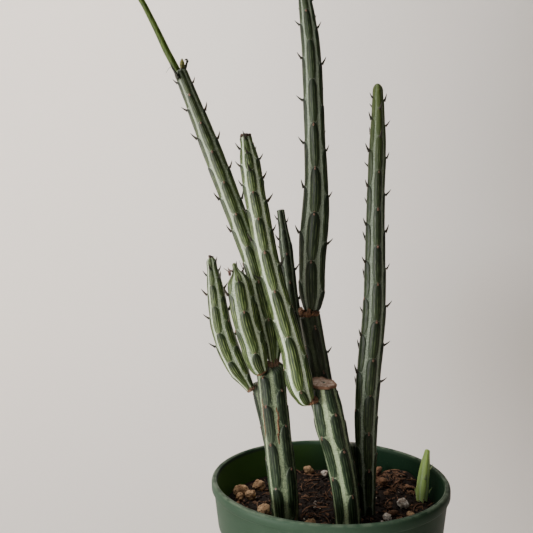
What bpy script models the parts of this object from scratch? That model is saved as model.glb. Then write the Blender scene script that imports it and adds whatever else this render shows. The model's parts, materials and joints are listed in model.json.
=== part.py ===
"""A potted pickle plant: ribbed succulent stems rooted in soil in a round nursery pot.

Metres, +Z up. The origin is the centre of the pot's underside, +X is to the right and
-Y is the front. Lengths are named in millimetres and turned into metres by MM.
"""

import math
import random

import bpy
from mathutils import Matrix, Vector

MM = 0.001
GAP = 0.3              # left between pieces that touch

# Pot
POT_HEIGHT = 90.0
POT_TOP_RADIUS = 54.0
POT_BASE_RADIUS = 38.0
POT_WALL = 1.4
POT_FLOOR = 1.8
POT_EDGE_ROUND = 1.2   # bevel round the underside
LIP_HEIGHT = 6.0
LIP_PROUD = 1.2        # how far the lip stands out from the wall
LIP_WIDTH = 1.7
DRAIN_HOLES = 6
DRAIN_RADIUS = 4.0
DRAIN_CIRCLE = 26.0    # radius of the ring that the drain holes stand on
DRAIN_TURN = 14.0      # degrees that the ring of holes is turned from the front
POT_SIDES = 48

# Soil
SOIL_BELOW_RIM = 15.0
SOIL_RINGS = 7
MOUND_HEIGHT = 8.0
MOUND_SPREAD = 15.0
MOUND_BEARING = 62.0   # degrees from the front, turning towards +X
ROOT_DEPTH = 12.0
SOCKET_SIDES = 16

# Stems
RIBS = 5
VALLEY = 0.86          # depth of the groove between two ribs, as a share of the radius
RING_STEP = 9.0        # distance between the sections of a stem
CUT_CROWN = 0.1        # how far a cut end swells, as a share of its radius
NECK_CROWN = 0.35      # the same where a branch rises from its parent

TRUNK_LEFT_RADIUS = 6.3
TRUNK_LEFT_HEIGHT = 67.0
TRUNK_LEFT_BACK_RADIUS = 3.4
TRUNK_CENTRE_RADIUS = 6.3
TRUNK_CENTRE_HEIGHT = 60.5
DARK_TRUNK_RADIUS = 5.0
DARK_TRUNK_HEIGHT = 90.0
LONG_BRANCH_RADIUS = 4.3
INNER_BRANCH_RADIUS = 5.0
CROSSING_RELIEF = 4.8  # how far the feet of the two leaning branches already stand apart
TALL_BRANCH_RADIUS = 6.0
TALL_BRANCH_HEIGHT = 152.0
RIGHT_STEM_RADIUS = 5.4
RIGHT_STEM_HEIGHT = 195.0
SPROUT_RADIUS = 2.8
SPROUT_TO_WALL = 2.4   # clear space between the sprout and the pot

# Flower stalk and buds
STALK_RADIUS = 1.3
FLOWER_RADIUS = 2.6
FLOWER_LENGTH = 11.0
TIP_BUD_RADIUS = 1.05
TIP_BUD_LENGTH = 5.0

POT_GREEN = (0.045, 0.115, 0.072)
STEM_GREEN = (0.060, 0.120, 0.055)
DARK_STEM_GREEN = (0.028, 0.055, 0.030)
LEAN_STEM_GREEN = (0.090, 0.160, 0.070)
YOUNG_GREEN = (0.180, 0.330, 0.070)
SOIL_BROWN = (0.035, 0.020, 0.013)
STONE_TAN = (0.330, 0.210, 0.120)
BARK_BROWN = (0.150, 0.075, 0.045)
PERLITE_WHITE = (0.560, 0.530, 0.480)


def clear_scene():
    for item in list(bpy.data.objects):
        bpy.data.objects.remove(item, do_unlink=True)


def finish(name, colour, roughness):
    material = bpy.data.materials.new(name)
    material.use_nodes = True
    shader = material.node_tree.nodes["Principled BSDF"]
    shader.inputs["Base Color"].default_value = (*colour, 1.0)
    shader.inputs["Roughness"].default_value = roughness
    shader.inputs["Metallic"].default_value = 0.0
    return material


def add_piece(name, points, faces, material, sharp_degrees=50.0):
    """One closed piece from points in millimetres."""
    mesh = bpy.data.meshes.new(name)
    mesh.from_pydata([tuple(Vector(p) * MM) for p in points], [], faces)
    mesh.shade_smooth()
    mesh.set_sharp_from_angle(angle=math.radians(sharp_degrees))
    mesh.materials.append(material)
    piece = bpy.data.objects.new(name, mesh)
    bpy.context.scene.collection.objects.link(piece)
    return piece


def add_cutter(name, points, faces, target):
    """A closed shape that is cut out of the target."""
    mesh = bpy.data.meshes.new(name)
    mesh.from_pydata([tuple(Vector(p) * MM) for p in points], [], faces)
    cutter = bpy.data.objects.new(name, mesh)
    bpy.context.scene.collection.objects.link(cutter)
    cutter.hide_render = True
    cutter.display_type = 'WIRE'
    cut = target.modifiers.new(name, 'BOOLEAN')
    cut.operation = 'DIFFERENCE'
    cut.solver = 'EXACT'
    cut.object = cutter


def skin(rings, bottom_pole, top_pole):
    """Points and faces of a closed tube through rings of equal size, with a pole at each end."""
    count = len(rings[0])
    points = [bottom_pole]
    for ring in rings:
        points.extend(ring)
    points.append(top_pole)
    top = len(points) - 1
    last = 1 + (len(rings) - 1) * count
    faces = []
    for i in range(count):
        j = (i + 1) % count
        faces.append((0, 1 + j, 1 + i))
        faces.append((top, last + i, last + j))
        for level in range(len(rings) - 1):
            low = 1 + level * count
            high = low + count
            faces.append((low + i, low + j, high + j, high + i))
    return points, faces


def turned(profile, sides):
    """A closed solid of revolution about Z; the profile runs from the bottom pole to the top pole."""
    rings = []
    for radius, height in profile[1:-1]:
        ring = []
        for i in range(sides):
            angle = 2 * math.pi * i / sides
            ring.append(Vector((radius * math.cos(angle), radius * math.sin(angle), height)))
        rings.append(ring)
    return skin(rings, Vector((0, 0, profile[0][1])), Vector((0, 0, profile[-1][1])))


def upright_cylinder(x, y, low, high, radius, sides):
    """A cylinder whose flats, not its corners, keep the radius."""
    corner = radius / math.cos(math.pi / sides)
    points, faces = turned([(0, low), (corner, low), (corner, high), (0, high)], sides)
    return [p + Vector((x, y, 0)) for p in points], faces


def bearing(degrees):
    """The level direction that is this far round from the front, towards +X."""
    angle = math.radians(degrees)
    return Vector((math.sin(angle), -math.cos(angle), 0))


def through(knots, share):
    """The smooth curve through knots (share, value, ...), read at a share."""
    if share <= knots[0][0]:
        return list(knots[0][1:])
    if share >= knots[-1][0]:
        return list(knots[-1][1:])
    k = max(i for i in range(len(knots) - 1) if knots[i][0] <= share)
    before, start, end, after = (knots[max(k - 1, 0)], knots[k], knots[k + 1],
                                 knots[min(k + 2, len(knots) - 1)])
    span = end[0] - start[0]
    s = (share - start[0]) / span
    values = []
    for n in range(1, len(start)):
        slope_in = (end[n] - before[n]) / (end[0] - before[0]) * span
        slope_out = (after[n] - start[n]) / (after[0] - start[0]) * span
        values.append((2 * s**3 - 3 * s**2 + 1) * start[n] + (s**3 - 2 * s**2 + s) * slope_in
                      + (3 * s**2 - 2 * s**3) * end[n] + (s**3 - s**2) * slope_out)
    return values


def pot_inner_radius(height):
    """Radius of the pot's inner wall at a height below the lip."""
    low = POT_BASE_RADIUS - POT_WALL
    high = POT_TOP_RADIUS - LIP_PROUD - POT_WALL
    share = (height - POT_FLOOR) / (POT_HEIGHT - LIP_HEIGHT - POT_FLOOR)
    return low + (high - low) * share


SOIL_TOP = POT_HEIGHT - SOIL_BELOW_RIM
SOIL_RADIUS = pot_inner_radius(SOIL_TOP) - GAP


def soil_height(x, y):
    """Height of the soil's surface: nearly level, with a mound against the wall."""
    peak = bearing(180 - MOUND_BEARING) * SOIL_RADIUS
    away = math.hypot(x - peak.x, y - peak.y) / MOUND_SPREAD
    return SOIL_TOP + MOUND_HEIGHT * math.exp(-away * away)


class Stem:
    """One ribbed stem. Drift is its sideways path and girth its width, each by share of height."""

    def __init__(self, name, base, height, radius, drift, girth, turn=0.0, rooted=False,
                 slant=(0.0, 0.0), ribs=RIBS, valley=VALLEY):
        self.name = name
        self.base = base
        self.height = height
        self.radius = radius
        self.drift = drift
        self.girth = girth
        self.turn = turn
        self.rooted = rooted
        self.slant = slant
        self.ribs = ribs
        self.valley = valley

    def centre(self, share):
        across, back = through(self.drift, share)
        return self.base + Vector((across, back, self.height * share))

    def radius_at(self, share):
        return self.radius * through(self.girth, share)[0]

    def axes(self, share):
        """The stem's own right, front and upward directions."""
        up = (self.centre(share + 0.01) - self.centre(share - 0.01)).normalized()
        front = Vector((0, -1, 0))
        front = (front - up * front.dot(up)).normalized()
        return up.cross(front), front, up

    def ring(self, share, tilt=0.0):
        right, front, up = self.axes(share)
        radius = self.radius_at(share)
        points = []
        for i in range(2 * self.ribs):
            angle = math.radians(self.turn) + math.pi * i / self.ribs
            reach = radius * (1.0 if i % 2 == 0 else self.valley)
            offset = (front * math.cos(angle) + right * math.sin(angle)) * reach
            rise = (offset.x * self.slant[0] + offset.y * self.slant[1]) * tilt
            points.append(self.centre(share) + offset + Vector((0, 0, rise)))
        return points

    def beside(self, share, side, own_radius):
        """The centre of something of this radius that stands clear of the stem's side."""
        clear = self.radius_at(share) + own_radius + GAP
        return self.centre(share) + bearing(side) * clear

    def on_top(self, side, reach, own_radius):
        """The centre of a neck that stands on the stem's top, out from its axis by a share of it."""
        right, front, up = self.axes(1.0)
        offset = bearing(side) * self.radius_at(1.0) * reach
        rise = offset.x * self.slant[0] + offset.y * self.slant[1]
        clear = CUT_CROWN * self.radius_at(1.0) + NECK_CROWN * own_radius + GAP
        return self.centre(1.0) + offset + Vector((0, 0, rise)) + up * clear

    def build(self, material):
        steps = max(4, round(self.height / RING_STEP))
        shares = [i / steps for i in range(steps + 1)]
        rings = [self.ring(s, tilt=max(0.0, 4 * s - 3)) for s in shares]
        foot = self.centre(0) - self.axes(0)[2] * NECK_CROWN * self.radius_at(0)
        if self.rooted:
            sunk = Vector((0, 0, -ROOT_DEPTH))
            rings.insert(0, [p + Vector((0, 0, self.base.z - p.z)) + sunk for p in rings[0]])
            foot = self.base + sunk
        head = self.centre(1) + self.axes(1)[2] * CUT_CROWN * self.radius_at(1)
        points, faces = skin(rings, foot, head)
        return add_piece(self.name, points, faces, material)


def rooted(name, x, y, height, radius, drift, girth, **more):
    base = Vector((x, y, soil_height(x, y)))
    return Stem(name, base, height, radius, drift, girth, rooted=True, **more)


def left_group():
    """The left trunk, the thin trunk behind it and the three branches that they carry."""
    trunk = rooted("trunk_left", -20.6, -20.0, TRUNK_LEFT_HEIGHT, TRUNK_LEFT_RADIUS,
                   drift=[(0, 0, 0), (0.2, -0.7, 0), (0.5, -3.1, 0), (1, -7.0, 0)],
                   girth=[(0, 0.88), (0.27, 1.03), (0.5, 0.98), (0.9, 0.99), (1, 0.9)],
                   turn=-31, slant=(0.25, 0.35))
    back = rooted("trunk_left_back", -21.0, -7.5, 60.0, TRUNK_LEFT_BACK_RADIUS,
                  drift=[(0, 0, 0), (0.3, -3.5, -1), (0.65, -7.2, -1.7), (1, -12.3, -2.2)],
                  girth=[(0, 1.0), (0.9, 1.0), (1, 0.88)], turn=10)
    outer = Stem("left_outer_branch", back.beside(0.96, -38, 1.6), 55.5, 3.9,
                 drift=[(0, 0, 0), (0.09, -3.8, 0.3), (0.24, -8.2, 1.2), (0.41, -11.6, 1.5),
                        (0.73, -15.0, 1.5), (1, -17.2, 1.5)],
                 girth=[(0, 0.36), (0.09, 0.74), (0.24, 0.98), (0.57, 1.0), (0.73, 0.88),
                        (0.9, 0.66), (1, 0.3)], turn=-20)
    middle = Stem("left_middle_branch", trunk.on_top(-38, 0.72, 2.4), 47.0, 4.9,
                  drift=[(0, 0, 0), (0.2, -2.0, 0), (0.38, -4.5, 0), (0.65, -7.6, 0.4),
                         (1, -11.0, 1.0)],
                  girth=[(0, 0.49), (0.1, 0.80), (0.2, 0.93), (0.38, 1.0), (0.66, 0.98),
                         (0.78, 0.68), (0.88, 0.3), (1, 0.18)], turn=5)
    behind = LONG_BRANCH_RADIUS + INNER_BRANCH_RADIUS - CROSSING_RELIEF
    long_branch = Stem("long_leaning_branch", trunk.on_top(128, 0.42, 2.1), 130.0,
                       LONG_BRANCH_RADIUS,
                       drift=[(0, 0, 0), (0.1, -0.5, 0.45 * behind), (0.24, -5.0, behind),
                              (0.51, -16.6, behind + 1.0), (1, -41.6, behind + 2.5)],
                       girth=[(0, 0.49), (0.04, 0.56), (0.1, 0.88), (0.24, 0.98), (0.5, 1.0),
                              (0.72, 0.95), (0.92, 0.7), (1, 0.65)], turn=0)
    return [trunk, back, outer, middle, long_branch]


def centre_group():
    """The cut centre trunk and the dark trunk behind it, each with its branch."""
    trunk = rooted("trunk_centre", 6.4, -20.0, TRUNK_CENTRE_HEIGHT, TRUNK_CENTRE_RADIUS,
                   drift=[(0, 0, 0), (0.2, -1.0, 0), (0.48, -4.0, 0), (0.75, -8.3, 0),
                          (1, -10.8, 0)],
                   girth=[(0, 0.9), (0.4, 0.95), (0.6, 1.0), (0.75, 1.1), (0.88, 1.04),
                          (1, 0.84)], turn=25, slant=(0.0, 0.2))
    inner = Stem("inner_leaning_branch", trunk.beside(0.9, -44, 1.9), 112.5,
                 INNER_BRANCH_RADIUS,
                 drift=[(0, 0, 0), (0.04, -2.8, 0.4), (0.13, -6.0, 2.0), (0.27, -10.5, 3.5),
                        (0.57, -19.5, 4.5), (1, -27.3, 5.5)],
                 girth=[(0, 0.38), (0.04, 0.68), (0.13, 1.03), (0.42, 1.0), (0.6, 0.98),
                        (0.77, 0.94), (0.93, 0.66), (1, 0.36)], turn=-7)
    dark = rooted("dark_trunk", 8.7, -6.0, DARK_TRUNK_HEIGHT, DARK_TRUNK_RADIUS,
                  drift=[(0, 0, 0), (0.32, -6.4, 0), (0.67, -12.8, 0), (1, -18.3, 0)],
                  girth=[(0, 1.0), (0.9, 1.0), (1, 0.98)], turn=18, slant=(-0.05, 0.0))
    tall = Stem("tall_branch", dark.on_top(90, 0.25, 2.8), TALL_BRANCH_HEIGHT,
                TALL_BRANCH_RADIUS,
                drift=[(0, 0, 0), (0.16, 0.2, 0), (0.34, 1.5, -0.2), (0.63, 0.2, -2.0),
                       (0.8, -1.2, -3.0), (1, -4.9, -3.0)],
                girth=[(0, 0.47), (0.035, 0.76), (0.07, 0.92), (0.15, 0.99), (0.25, 1.1),
                       (0.34, 0.95), (0.49, 0.8), (0.78, 0.72), (0.93, 0.5), (1, 0.18)],
                turn=-10)
    return [trunk, inner, dark, tall]


def right_group():
    """The straight right stem, the short stub and the inner branch that rise from the soil."""
    inner = rooted("short_inner_stem", 8.4, 8.2, 139.5, 3.0,
                   drift=[(0, 0, 0), (0.27, -10.5, 0), (0.45, -17.4, -1), (0.64, -24.0, -2),
                          (0.88, -28.2, -4), (1, -30.5, -4)],
                   girth=[(0, 1.0), (0.87, 0.95), (0.925, 0.66), (1, 0.5)], turn=0)
    right = rooted("right_stem", 17.8, -8.0, RIGHT_STEM_HEIGHT, RIGHT_STEM_RADIUS,
                   drift=[(0, 0, 0), (0.2, -1.1, 0), (0.33, -0.1, -0.4), (0.47, 2.0, -1.0),
                          (0.72, 2.5, -2.0), (0.9, 3.6, -2.0), (1, 3.4, -2.0)],
                   girth=[(0, 0.6), (0.08, 0.76), (0.15, 0.9), (0.28, 1.0), (0.44, 1.0),
                          (0.52, 0.95), (0.73, 0.79), (0.84, 0.74), (0.93, 0.47), (1, 0.26)],
                   turn=7)
    stub = rooted("short_stub", 15.8, 3.4, 28.5, 3.6,
                  drift=[(0, 0, 0), (0.4, -2.0, 0), (1, -4.4, 0)],
                  girth=[(0, 1.0), (0.85, 1.0), (1, 0.8)], turn=30)
    return [inner, right, stub]


def sprout_stem():
    out = SOIL_RADIUS - SPROUT_TO_WALL - SPROUT_RADIUS
    spot = bearing(95) * out
    return rooted("sprout", spot.x, spot.y, 24.0, SPROUT_RADIUS,
                  drift=[(0, 0, 0), (0.25, 0.3, 0), (0.64, 1.3, 0), (1, 2.6, 0)],
                  girth=[(0, 0.86), (0.25, 1.0), (0.64, 0.8), (0.88, 0.55), (1, 0.3)], turn=0)


def bud(name, foot, up, radius, length, material):
    """A pointed closed bud that stands on its foot along a direction."""
    outline = [(0, 0), (0.5, 0.04), (0.9, 0.25), (1.0, 0.45), (0.75, 0.75), (0.3, 0.95), (0, 1)]
    profile = [(r * radius, h * length) for r, h in outline]
    points, faces = turned(profile, 8)
    place = Matrix.Translation(foot) @ up.to_track_quat('Z', 'Y').to_matrix().to_4x4()
    return add_piece(name, [place @ p for p in points], faces, material)


def flowering_tip(branch, material, young):
    """The thin flower stalk and the small new bud that stand side by side on a branch's top."""
    right, front, up = branch.axes(1.0)
    top = branch.centre(1.0) + up * (CUT_CROWN * branch.radius_at(1.0) + GAP)
    half = branch.radius_at(1.0) * 0.52
    stalk = Stem("flower_stalk", top - right * half + up * STALK_RADIUS, 82.0, STALK_RADIUS,
                 drift=[(0, 0, 0), (0.19, -8.0, 0), (0.38, -17.0, 0), (0.8, -37.0, 0),
                        (1, -45.5, 0)],
                 girth=[(0, 1.05), (0.3, 0.92), (1, 0.8)], ribs=3, valley=1.0)
    stalk.build(material)
    tip_up = stalk.axes(1.0)[2]
    tip = stalk.centre(1.0) + tip_up * (CUT_CROWN * stalk.radius_at(1.0) + GAP)
    bud("flower_bud", tip, tip_up, FLOWER_RADIUS, FLOWER_LENGTH, material)
    foot = top + right * half
    bud("tip_bud", foot, Vector((0.1, 0, 1)).normalized(), TIP_BUD_RADIUS, TIP_BUD_LENGTH, young)


def build_pot():
    """The pot: a plain tapered wall, a lip that stands proud and a ring of drain holes."""
    under_lip = POT_HEIGHT - LIP_HEIGHT
    lip_round = LIP_WIDTH * 0.35
    profile = [
        (0, 0),
        (POT_BASE_RADIUS - POT_EDGE_ROUND, 0),
        (POT_BASE_RADIUS, POT_EDGE_ROUND),
        (POT_TOP_RADIUS - LIP_PROUD, under_lip),
        (POT_TOP_RADIUS, under_lip + lip_round),
        (POT_TOP_RADIUS, POT_HEIGHT - lip_round),
        (POT_TOP_RADIUS - lip_round, POT_HEIGHT),
        (POT_TOP_RADIUS - LIP_WIDTH + lip_round, POT_HEIGHT),
        (POT_TOP_RADIUS - LIP_WIDTH, POT_HEIGHT - lip_round),
        (POT_TOP_RADIUS - LIP_PROUD - POT_WALL, under_lip),
        (POT_BASE_RADIUS - POT_WALL, POT_FLOOR),
        (0, POT_FLOOR),
    ]
    points, faces = turned(profile, POT_SIDES)
    pot = add_piece("pot", points, faces, finish("pot_green", POT_GREEN, 0.45))
    for i in range(DRAIN_HOLES):
        spot = bearing(DRAIN_TURN + 360 * i / DRAIN_HOLES) * DRAIN_CIRCLE
        hole = upright_cylinder(spot.x, spot.y, -1, POT_FLOOR + 1, DRAIN_RADIUS, 12)
        add_cutter(f"drain_cutter_{i}", *hole, pot)


def build_soil(stems):
    """Soil that fills the pot to its level, with a socket for each stem that roots in it."""
    low = POT_FLOOR + GAP
    rings = []
    for radius, height in ((pot_inner_radius(low) - GAP, low), (SOIL_RADIUS, None)):
        rings.append([bearing(-360 * i / POT_SIDES) * radius for i in range(POT_SIDES)])
    for level in range(SOIL_RINGS - 1, 0, -1):
        radius = SOIL_RADIUS * level / SOIL_RINGS
        rings.append([bearing(-360 * i / POT_SIDES) * radius for i in range(POT_SIDES)])
    for number, ring in enumerate(rings):
        for point in ring:
            point.z = low if number == 0 else soil_height(point.x, point.y)
    rings = [ring[::-1] for ring in rings]
    points, faces = skin(rings, Vector((0, 0, low)), Vector((0, 0, soil_height(0, 0))))
    soil = add_piece("soil", points, faces, finish("soil_brown", SOIL_BROWN, 0.95))
    for stem in stems:
        if stem.rooted:
            hole = upright_cylinder(stem.base.x, stem.base.y, stem.base.z - ROOT_DEPTH - GAP,
                                    SOIL_TOP + 2 * MOUND_HEIGHT, stem.radius_at(0) + GAP,
                                    SOCKET_SIDES)
            add_cutter(f"socket_cutter_{stem.name}", *hole, soil)


def lump(name, x, y, size, seed, material):
    """An uneven lump of a given width, depth and height that lies on the soil."""
    dice = random.Random(seed)
    sides = 8
    levels = [(0.55, 0.0), (0.95, 0.25), (1.0, 0.5), (0.8, 0.82)]
    yaw = dice.uniform(0, 2 * math.pi)
    rings = []
    for reach, height in levels:
        ring = []
        for i in range(sides):
            angle = 2 * math.pi * i / sides
            wide = reach * dice.uniform(0.84, 1.0)
            ring.append(Vector((math.cos(angle) * wide * size[0] / 2,
                                math.sin(angle) * wide * size[1] / 2, height * size[2])))
        rings.append(ring)
    points, faces = skin(rings, Vector((0, 0, 0)), Vector((0, 0, size[2])))
    reach = max(size[0], size[1]) / 2
    around = [bearing(30 * i) * reach for i in range(12)]
    level = max(soil_height(x + p.x, y + p.y) for p in around + [Vector((0, 0, 0))])
    place = Matrix.Translation((x, y, level + GAP)) @ Matrix.Rotation(yaw, 4, 'Z')
    add_piece(name, [place @ p for p in points], faces, material, sharp_degrees=70.0)


def build_lumps(stems):
    """Stones, bark and perlite on the soil: by the wall, or beside the stem that they lie next to."""
    stone = finish("stone_tan", STONE_TAN, 0.9)
    bark = finish("bark_brown", BARK_BROWN, 0.85)
    perlite = finish("perlite_white", PERLITE_WHITE, 0.9)
    by_wall = [
        ("stone_left_rear", -122, 10.5, (6.4, 4.6, 3.8), stone),
        ("stone_left_outer", -108, 5.6, (7.4, 5.0, 4.2), stone),
        ("stone_left_inner", -102, 11.8, (4.6, 4.2, 4.0), stone),
        ("stone_left_front", -99, 7.0, (4.0, 3.6, 3.2), stone),
        ("bark_left_wall", -82, 4.5, (7.0, 3.6, 2.6), bark),
        ("perlite_rear", 177, 12.0, (4.2, 3.6, 3.4), perlite),
        ("stone_rear", -172, 6.0, (5.0, 3.8, 3.4), stone),
        ("bark_right_rear", 137, 6.0, (9.0, 4.0, 3.0), bark),
        ("bark_right_low", 120, 16.0, (7.0, 4.5, 3.0), bark),
        ("perlite_right", 85, 15.0, (5.6, 4.6, 4.2), perlite),
    ]
    for number, (name, side, inward, size, material) in enumerate(by_wall):
        spot = bearing(side) * (SOIL_RADIUS - inward)
        lump(name, spot.x, spot.y, size, number + 11, material)
    base = {stem.name: stem.base for stem in stems if stem.rooted}
    by_stem = [
        ("stone_by_trunk", "trunk_left_back", (-9.2, -3.0), (6.2, 5.0, 4.4), stone),
        ("stone_between", "trunk_left", (10.2, -3.5), (4.4, 4.0, 3.6), stone),
        ("bark_right_front", "right_stem", (10.0, -3.2), (6.4, 3.4, 2.4), stone),
        ("perlite_front", "right_stem", (6.5, -7.8), (4.0, 3.4, 3.0), perlite),
        ("stone_front_right", "right_stem", (17.4, -4.8), (3.4, 3.0, 2.6), stone),
    ]
    for number, (name, stem, (across, back), size, material) in enumerate(by_stem):
        spot = base[stem] + Vector((across, back, 0))
        lump(name, spot.x, spot.y, size, number + 41, material)


def build():
    clear_scene()
    greens = {
        "stem": finish("stem_green", STEM_GREEN, 0.55),
        "dark": finish("stem_dark_green", DARK_STEM_GREEN, 0.6),
        "lean": finish("stem_light_green", LEAN_STEM_GREEN, 0.55),
        "young": finish("young_green", YOUNG_GREEN, 0.5),
    }
    stems = left_group() + centre_group() + right_group() + [sprout_stem()]
    shade = {"dark_trunk": "dark", "short_stub": "dark", "trunk_left_back": "dark",
             "left_outer_branch": "lean", "left_middle_branch": "lean",
             "inner_leaning_branch": "lean", "sprout": "young"}
    for stem in stems:
        stem.build(greens[shade.get(stem.name, "stem")])
    branch = next(stem for stem in stems if stem.name == "long_leaning_branch")
    flowering_tip(branch, greens["lean"], greens["young"])
    build_pot()
    build_soil(stems)
    build_lumps(stems)


build()
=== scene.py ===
import json
import math
import random
from collections import namedtuple

import bmesh
import bpy
import numpy as np
from mathutils import Matrix, Vector, noise


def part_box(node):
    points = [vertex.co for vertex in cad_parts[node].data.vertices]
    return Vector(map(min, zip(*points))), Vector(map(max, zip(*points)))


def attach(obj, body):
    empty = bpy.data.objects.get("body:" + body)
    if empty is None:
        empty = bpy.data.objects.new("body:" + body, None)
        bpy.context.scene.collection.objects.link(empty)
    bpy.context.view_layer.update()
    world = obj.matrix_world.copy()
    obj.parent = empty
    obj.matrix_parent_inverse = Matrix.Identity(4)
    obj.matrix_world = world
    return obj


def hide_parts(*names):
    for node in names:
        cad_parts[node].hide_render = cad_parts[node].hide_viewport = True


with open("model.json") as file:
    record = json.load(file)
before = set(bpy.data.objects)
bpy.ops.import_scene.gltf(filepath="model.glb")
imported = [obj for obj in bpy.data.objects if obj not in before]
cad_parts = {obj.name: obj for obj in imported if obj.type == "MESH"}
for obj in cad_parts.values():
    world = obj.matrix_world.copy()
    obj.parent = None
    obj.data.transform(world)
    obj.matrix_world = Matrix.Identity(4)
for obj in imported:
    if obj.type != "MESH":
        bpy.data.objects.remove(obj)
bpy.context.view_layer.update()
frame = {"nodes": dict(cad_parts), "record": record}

# Lengths are named in millimetres and turned into metres by MM. The front is -Y.
MM = 0.001
BODY = "root"
MERGE = 1e-6                # points closer than this, in metres, are one point

# Ribs and their cushions
RIBS = 5
CAD_VALLEY = 0.86           # radius at the solids' grooves, as a share of the ridge radius
SPIRAL = 0.6                # how much further up each next rib's cushions start, in cushions
RING_STEP = 0.45            # height of a stem's rings of faces
COLUMNS = 70                # faces round a stem
GROOVE_DEPTH = 0.09         # further depth of the skin's grooves, in ridge radii
CUSHION_HEIGHT = 0.085      # in ridge radii
SKIN_SINK = 0.03            # how far the skin lies inside the ridge radius, in ridge radii
NARROWEST = 0.02            # least half width of a cushion, in rib pitches
CROWN_SHARE = 0.27          # share of a cushion's length that its round top takes
FOOT_SHARE = 0.30           # share of it over which its foot draws in
FOOT_WIDTH = 0.56           # width of a cushion's foot, as a share of its full width
FOOT_LIFT = 0.40            # height of a cushion's foot, as a share of its top's height
SITE_DROP = 0.05            # how far below a cushion's top its leaf stands, in cushions
ROOT_DEPTH = 12.0           # how far the rooted solids reach down into the soil
BURIED = 5.0                # how much of that their skins keep
FOOT_ROUNDING = 0.9         # height of a branch's rounded foot, in ridge radii
YOUNG_FADE = 1.6            # how slowly the fresh green of a tip sets in

# Leaves
LEAF_LENGTH = 3.7
LEAF_CLIMB = (28, 62)       # degrees that a leaf rises from its stem's side
LEAF_SWAY = 0.22
BARE_FOOT = 2.0             # lengths at a stem's foot and tip that carry no leaves
BARE_TIP = 1.2
BARE_YOUNG_TIP = 6.0
LONG_YOUNG = 10.0           # a tip that is fresh for longer than this has no leaves at its end
FRONT_ARC = 55              # degrees each side of the front where most leaves have dropped
SCAR_WIDTH = 0.5
SCARS_KEPT = 0.8            # share of the dropped leaves whose scar stands out
OLIVE_SCARS_KEPT = 0.45

# Cork
CALLUS_TALL = 1.5           # height of a ring of cork, as a share of its thickness
CALLUS_FADE = 0.75          # how much thinner it is on its far side
CALLUS_LEAST = 0.12

# Pot
POT_SEGMENTS = 180
DRAIN_HOLES = 6
DRAIN_RADIUS = 4.0
DRAIN_CIRCLE = 26.0         # radius of the circle that the drain holes stand on
DRAIN_TURN = 14.0
POT_BASE = 38.0             # radius of the underside
LIP_HEIGHT = 6.0            # the solid's plain lip, which sets the wall's slope
LIP_PROUD = 1.2
COLLAR_HEIGHT = 21.0        # from the step in the wall up to the rim
COLLAR_PROUD = 1.25         # how far the collar stands out at the step
COLLAR_TAPER = 0.75         # how much of that it loses below the bead
BEAD_HEIGHT = 4.6
WALL = 1.4
FLOOR = 1.8

# Soil
MOUND_SPREAD = 15.0
MOUND_REACH = 17.0          # how far from its top the mound carries more bark
SOIL_SINK = 0.25            # how far the rough top lies below the solid's
SOIL_ROUGHNESS = 1.1
PLAIN_EDGE = 4              # rings next to the wall that carry no loose bits

# Camera and studio, in metres and watts
LENS = 39.17
SENSOR = 36.0
CAMERA_PLACE = (-0.0291, -0.272, 0.1875)
SWEEP_BEND = 0.85
SWEEP_STEPS = 24
SWEEP_FRONT = -1.9
SWEEP_BACK = 0.10
SWEEP_TOP = 2.2
SWEEP_SIDE = 2.6
LIGHTS = [
    # name, place, point aimed at, width and height, power, colour
    ("window", (-1.18, -0.62, 0.16), (0, 0, 0.19), (0.9, 0.36), 28.5, (1.0, 0.985, 0.955)),
    ("front_fill", (-0.45, -1.25, 0.45), (0, 0, 0.15), (1.0, 0.8), 2.0, (1.0, 0.99, 0.97)),
    ("wall_wash", (-0.6, 0.05, 1.25), (0.05, 0.95, 0.35), (0.8, 0.8), 20.0, (1.0, 0.955, 0.91)),
]
SKY_COLOUR = (0.80, 0.82, 0.85, 1.0)
SKY_STRENGTH = 0.15


# ---------------------------------------------------------------- node trees

class Value:
    """A node socket that takes part in sums with other sockets and plain numbers."""

    def __init__(self, sheet, socket):
        self.sheet = sheet
        self.socket = socket

    def other(self, name):
        """Another output of the same node."""
        return Value(self.sheet, self.socket.node.outputs[name])

    def __add__(self, other):
        return self.sheet.math('ADD', self, other)

    def __radd__(self, other):
        return self.sheet.math('ADD', other, self)

    def __sub__(self, other):
        return self.sheet.math('SUBTRACT', self, other)

    def __rsub__(self, other):
        return self.sheet.math('SUBTRACT', other, self)

    def __mul__(self, other):
        return self.sheet.math('MULTIPLY', self, other)

    def __rmul__(self, other):
        return self.sheet.math('MULTIPLY', other, self)

    def __truediv__(self, other):
        return self.sheet.math('DIVIDE', self, other)

    def __pow__(self, other):
        return self.sheet.math('POWER', self, other)

    def __abs__(self):
        return self.sheet.math('ABSOLUTE', self)


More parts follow.
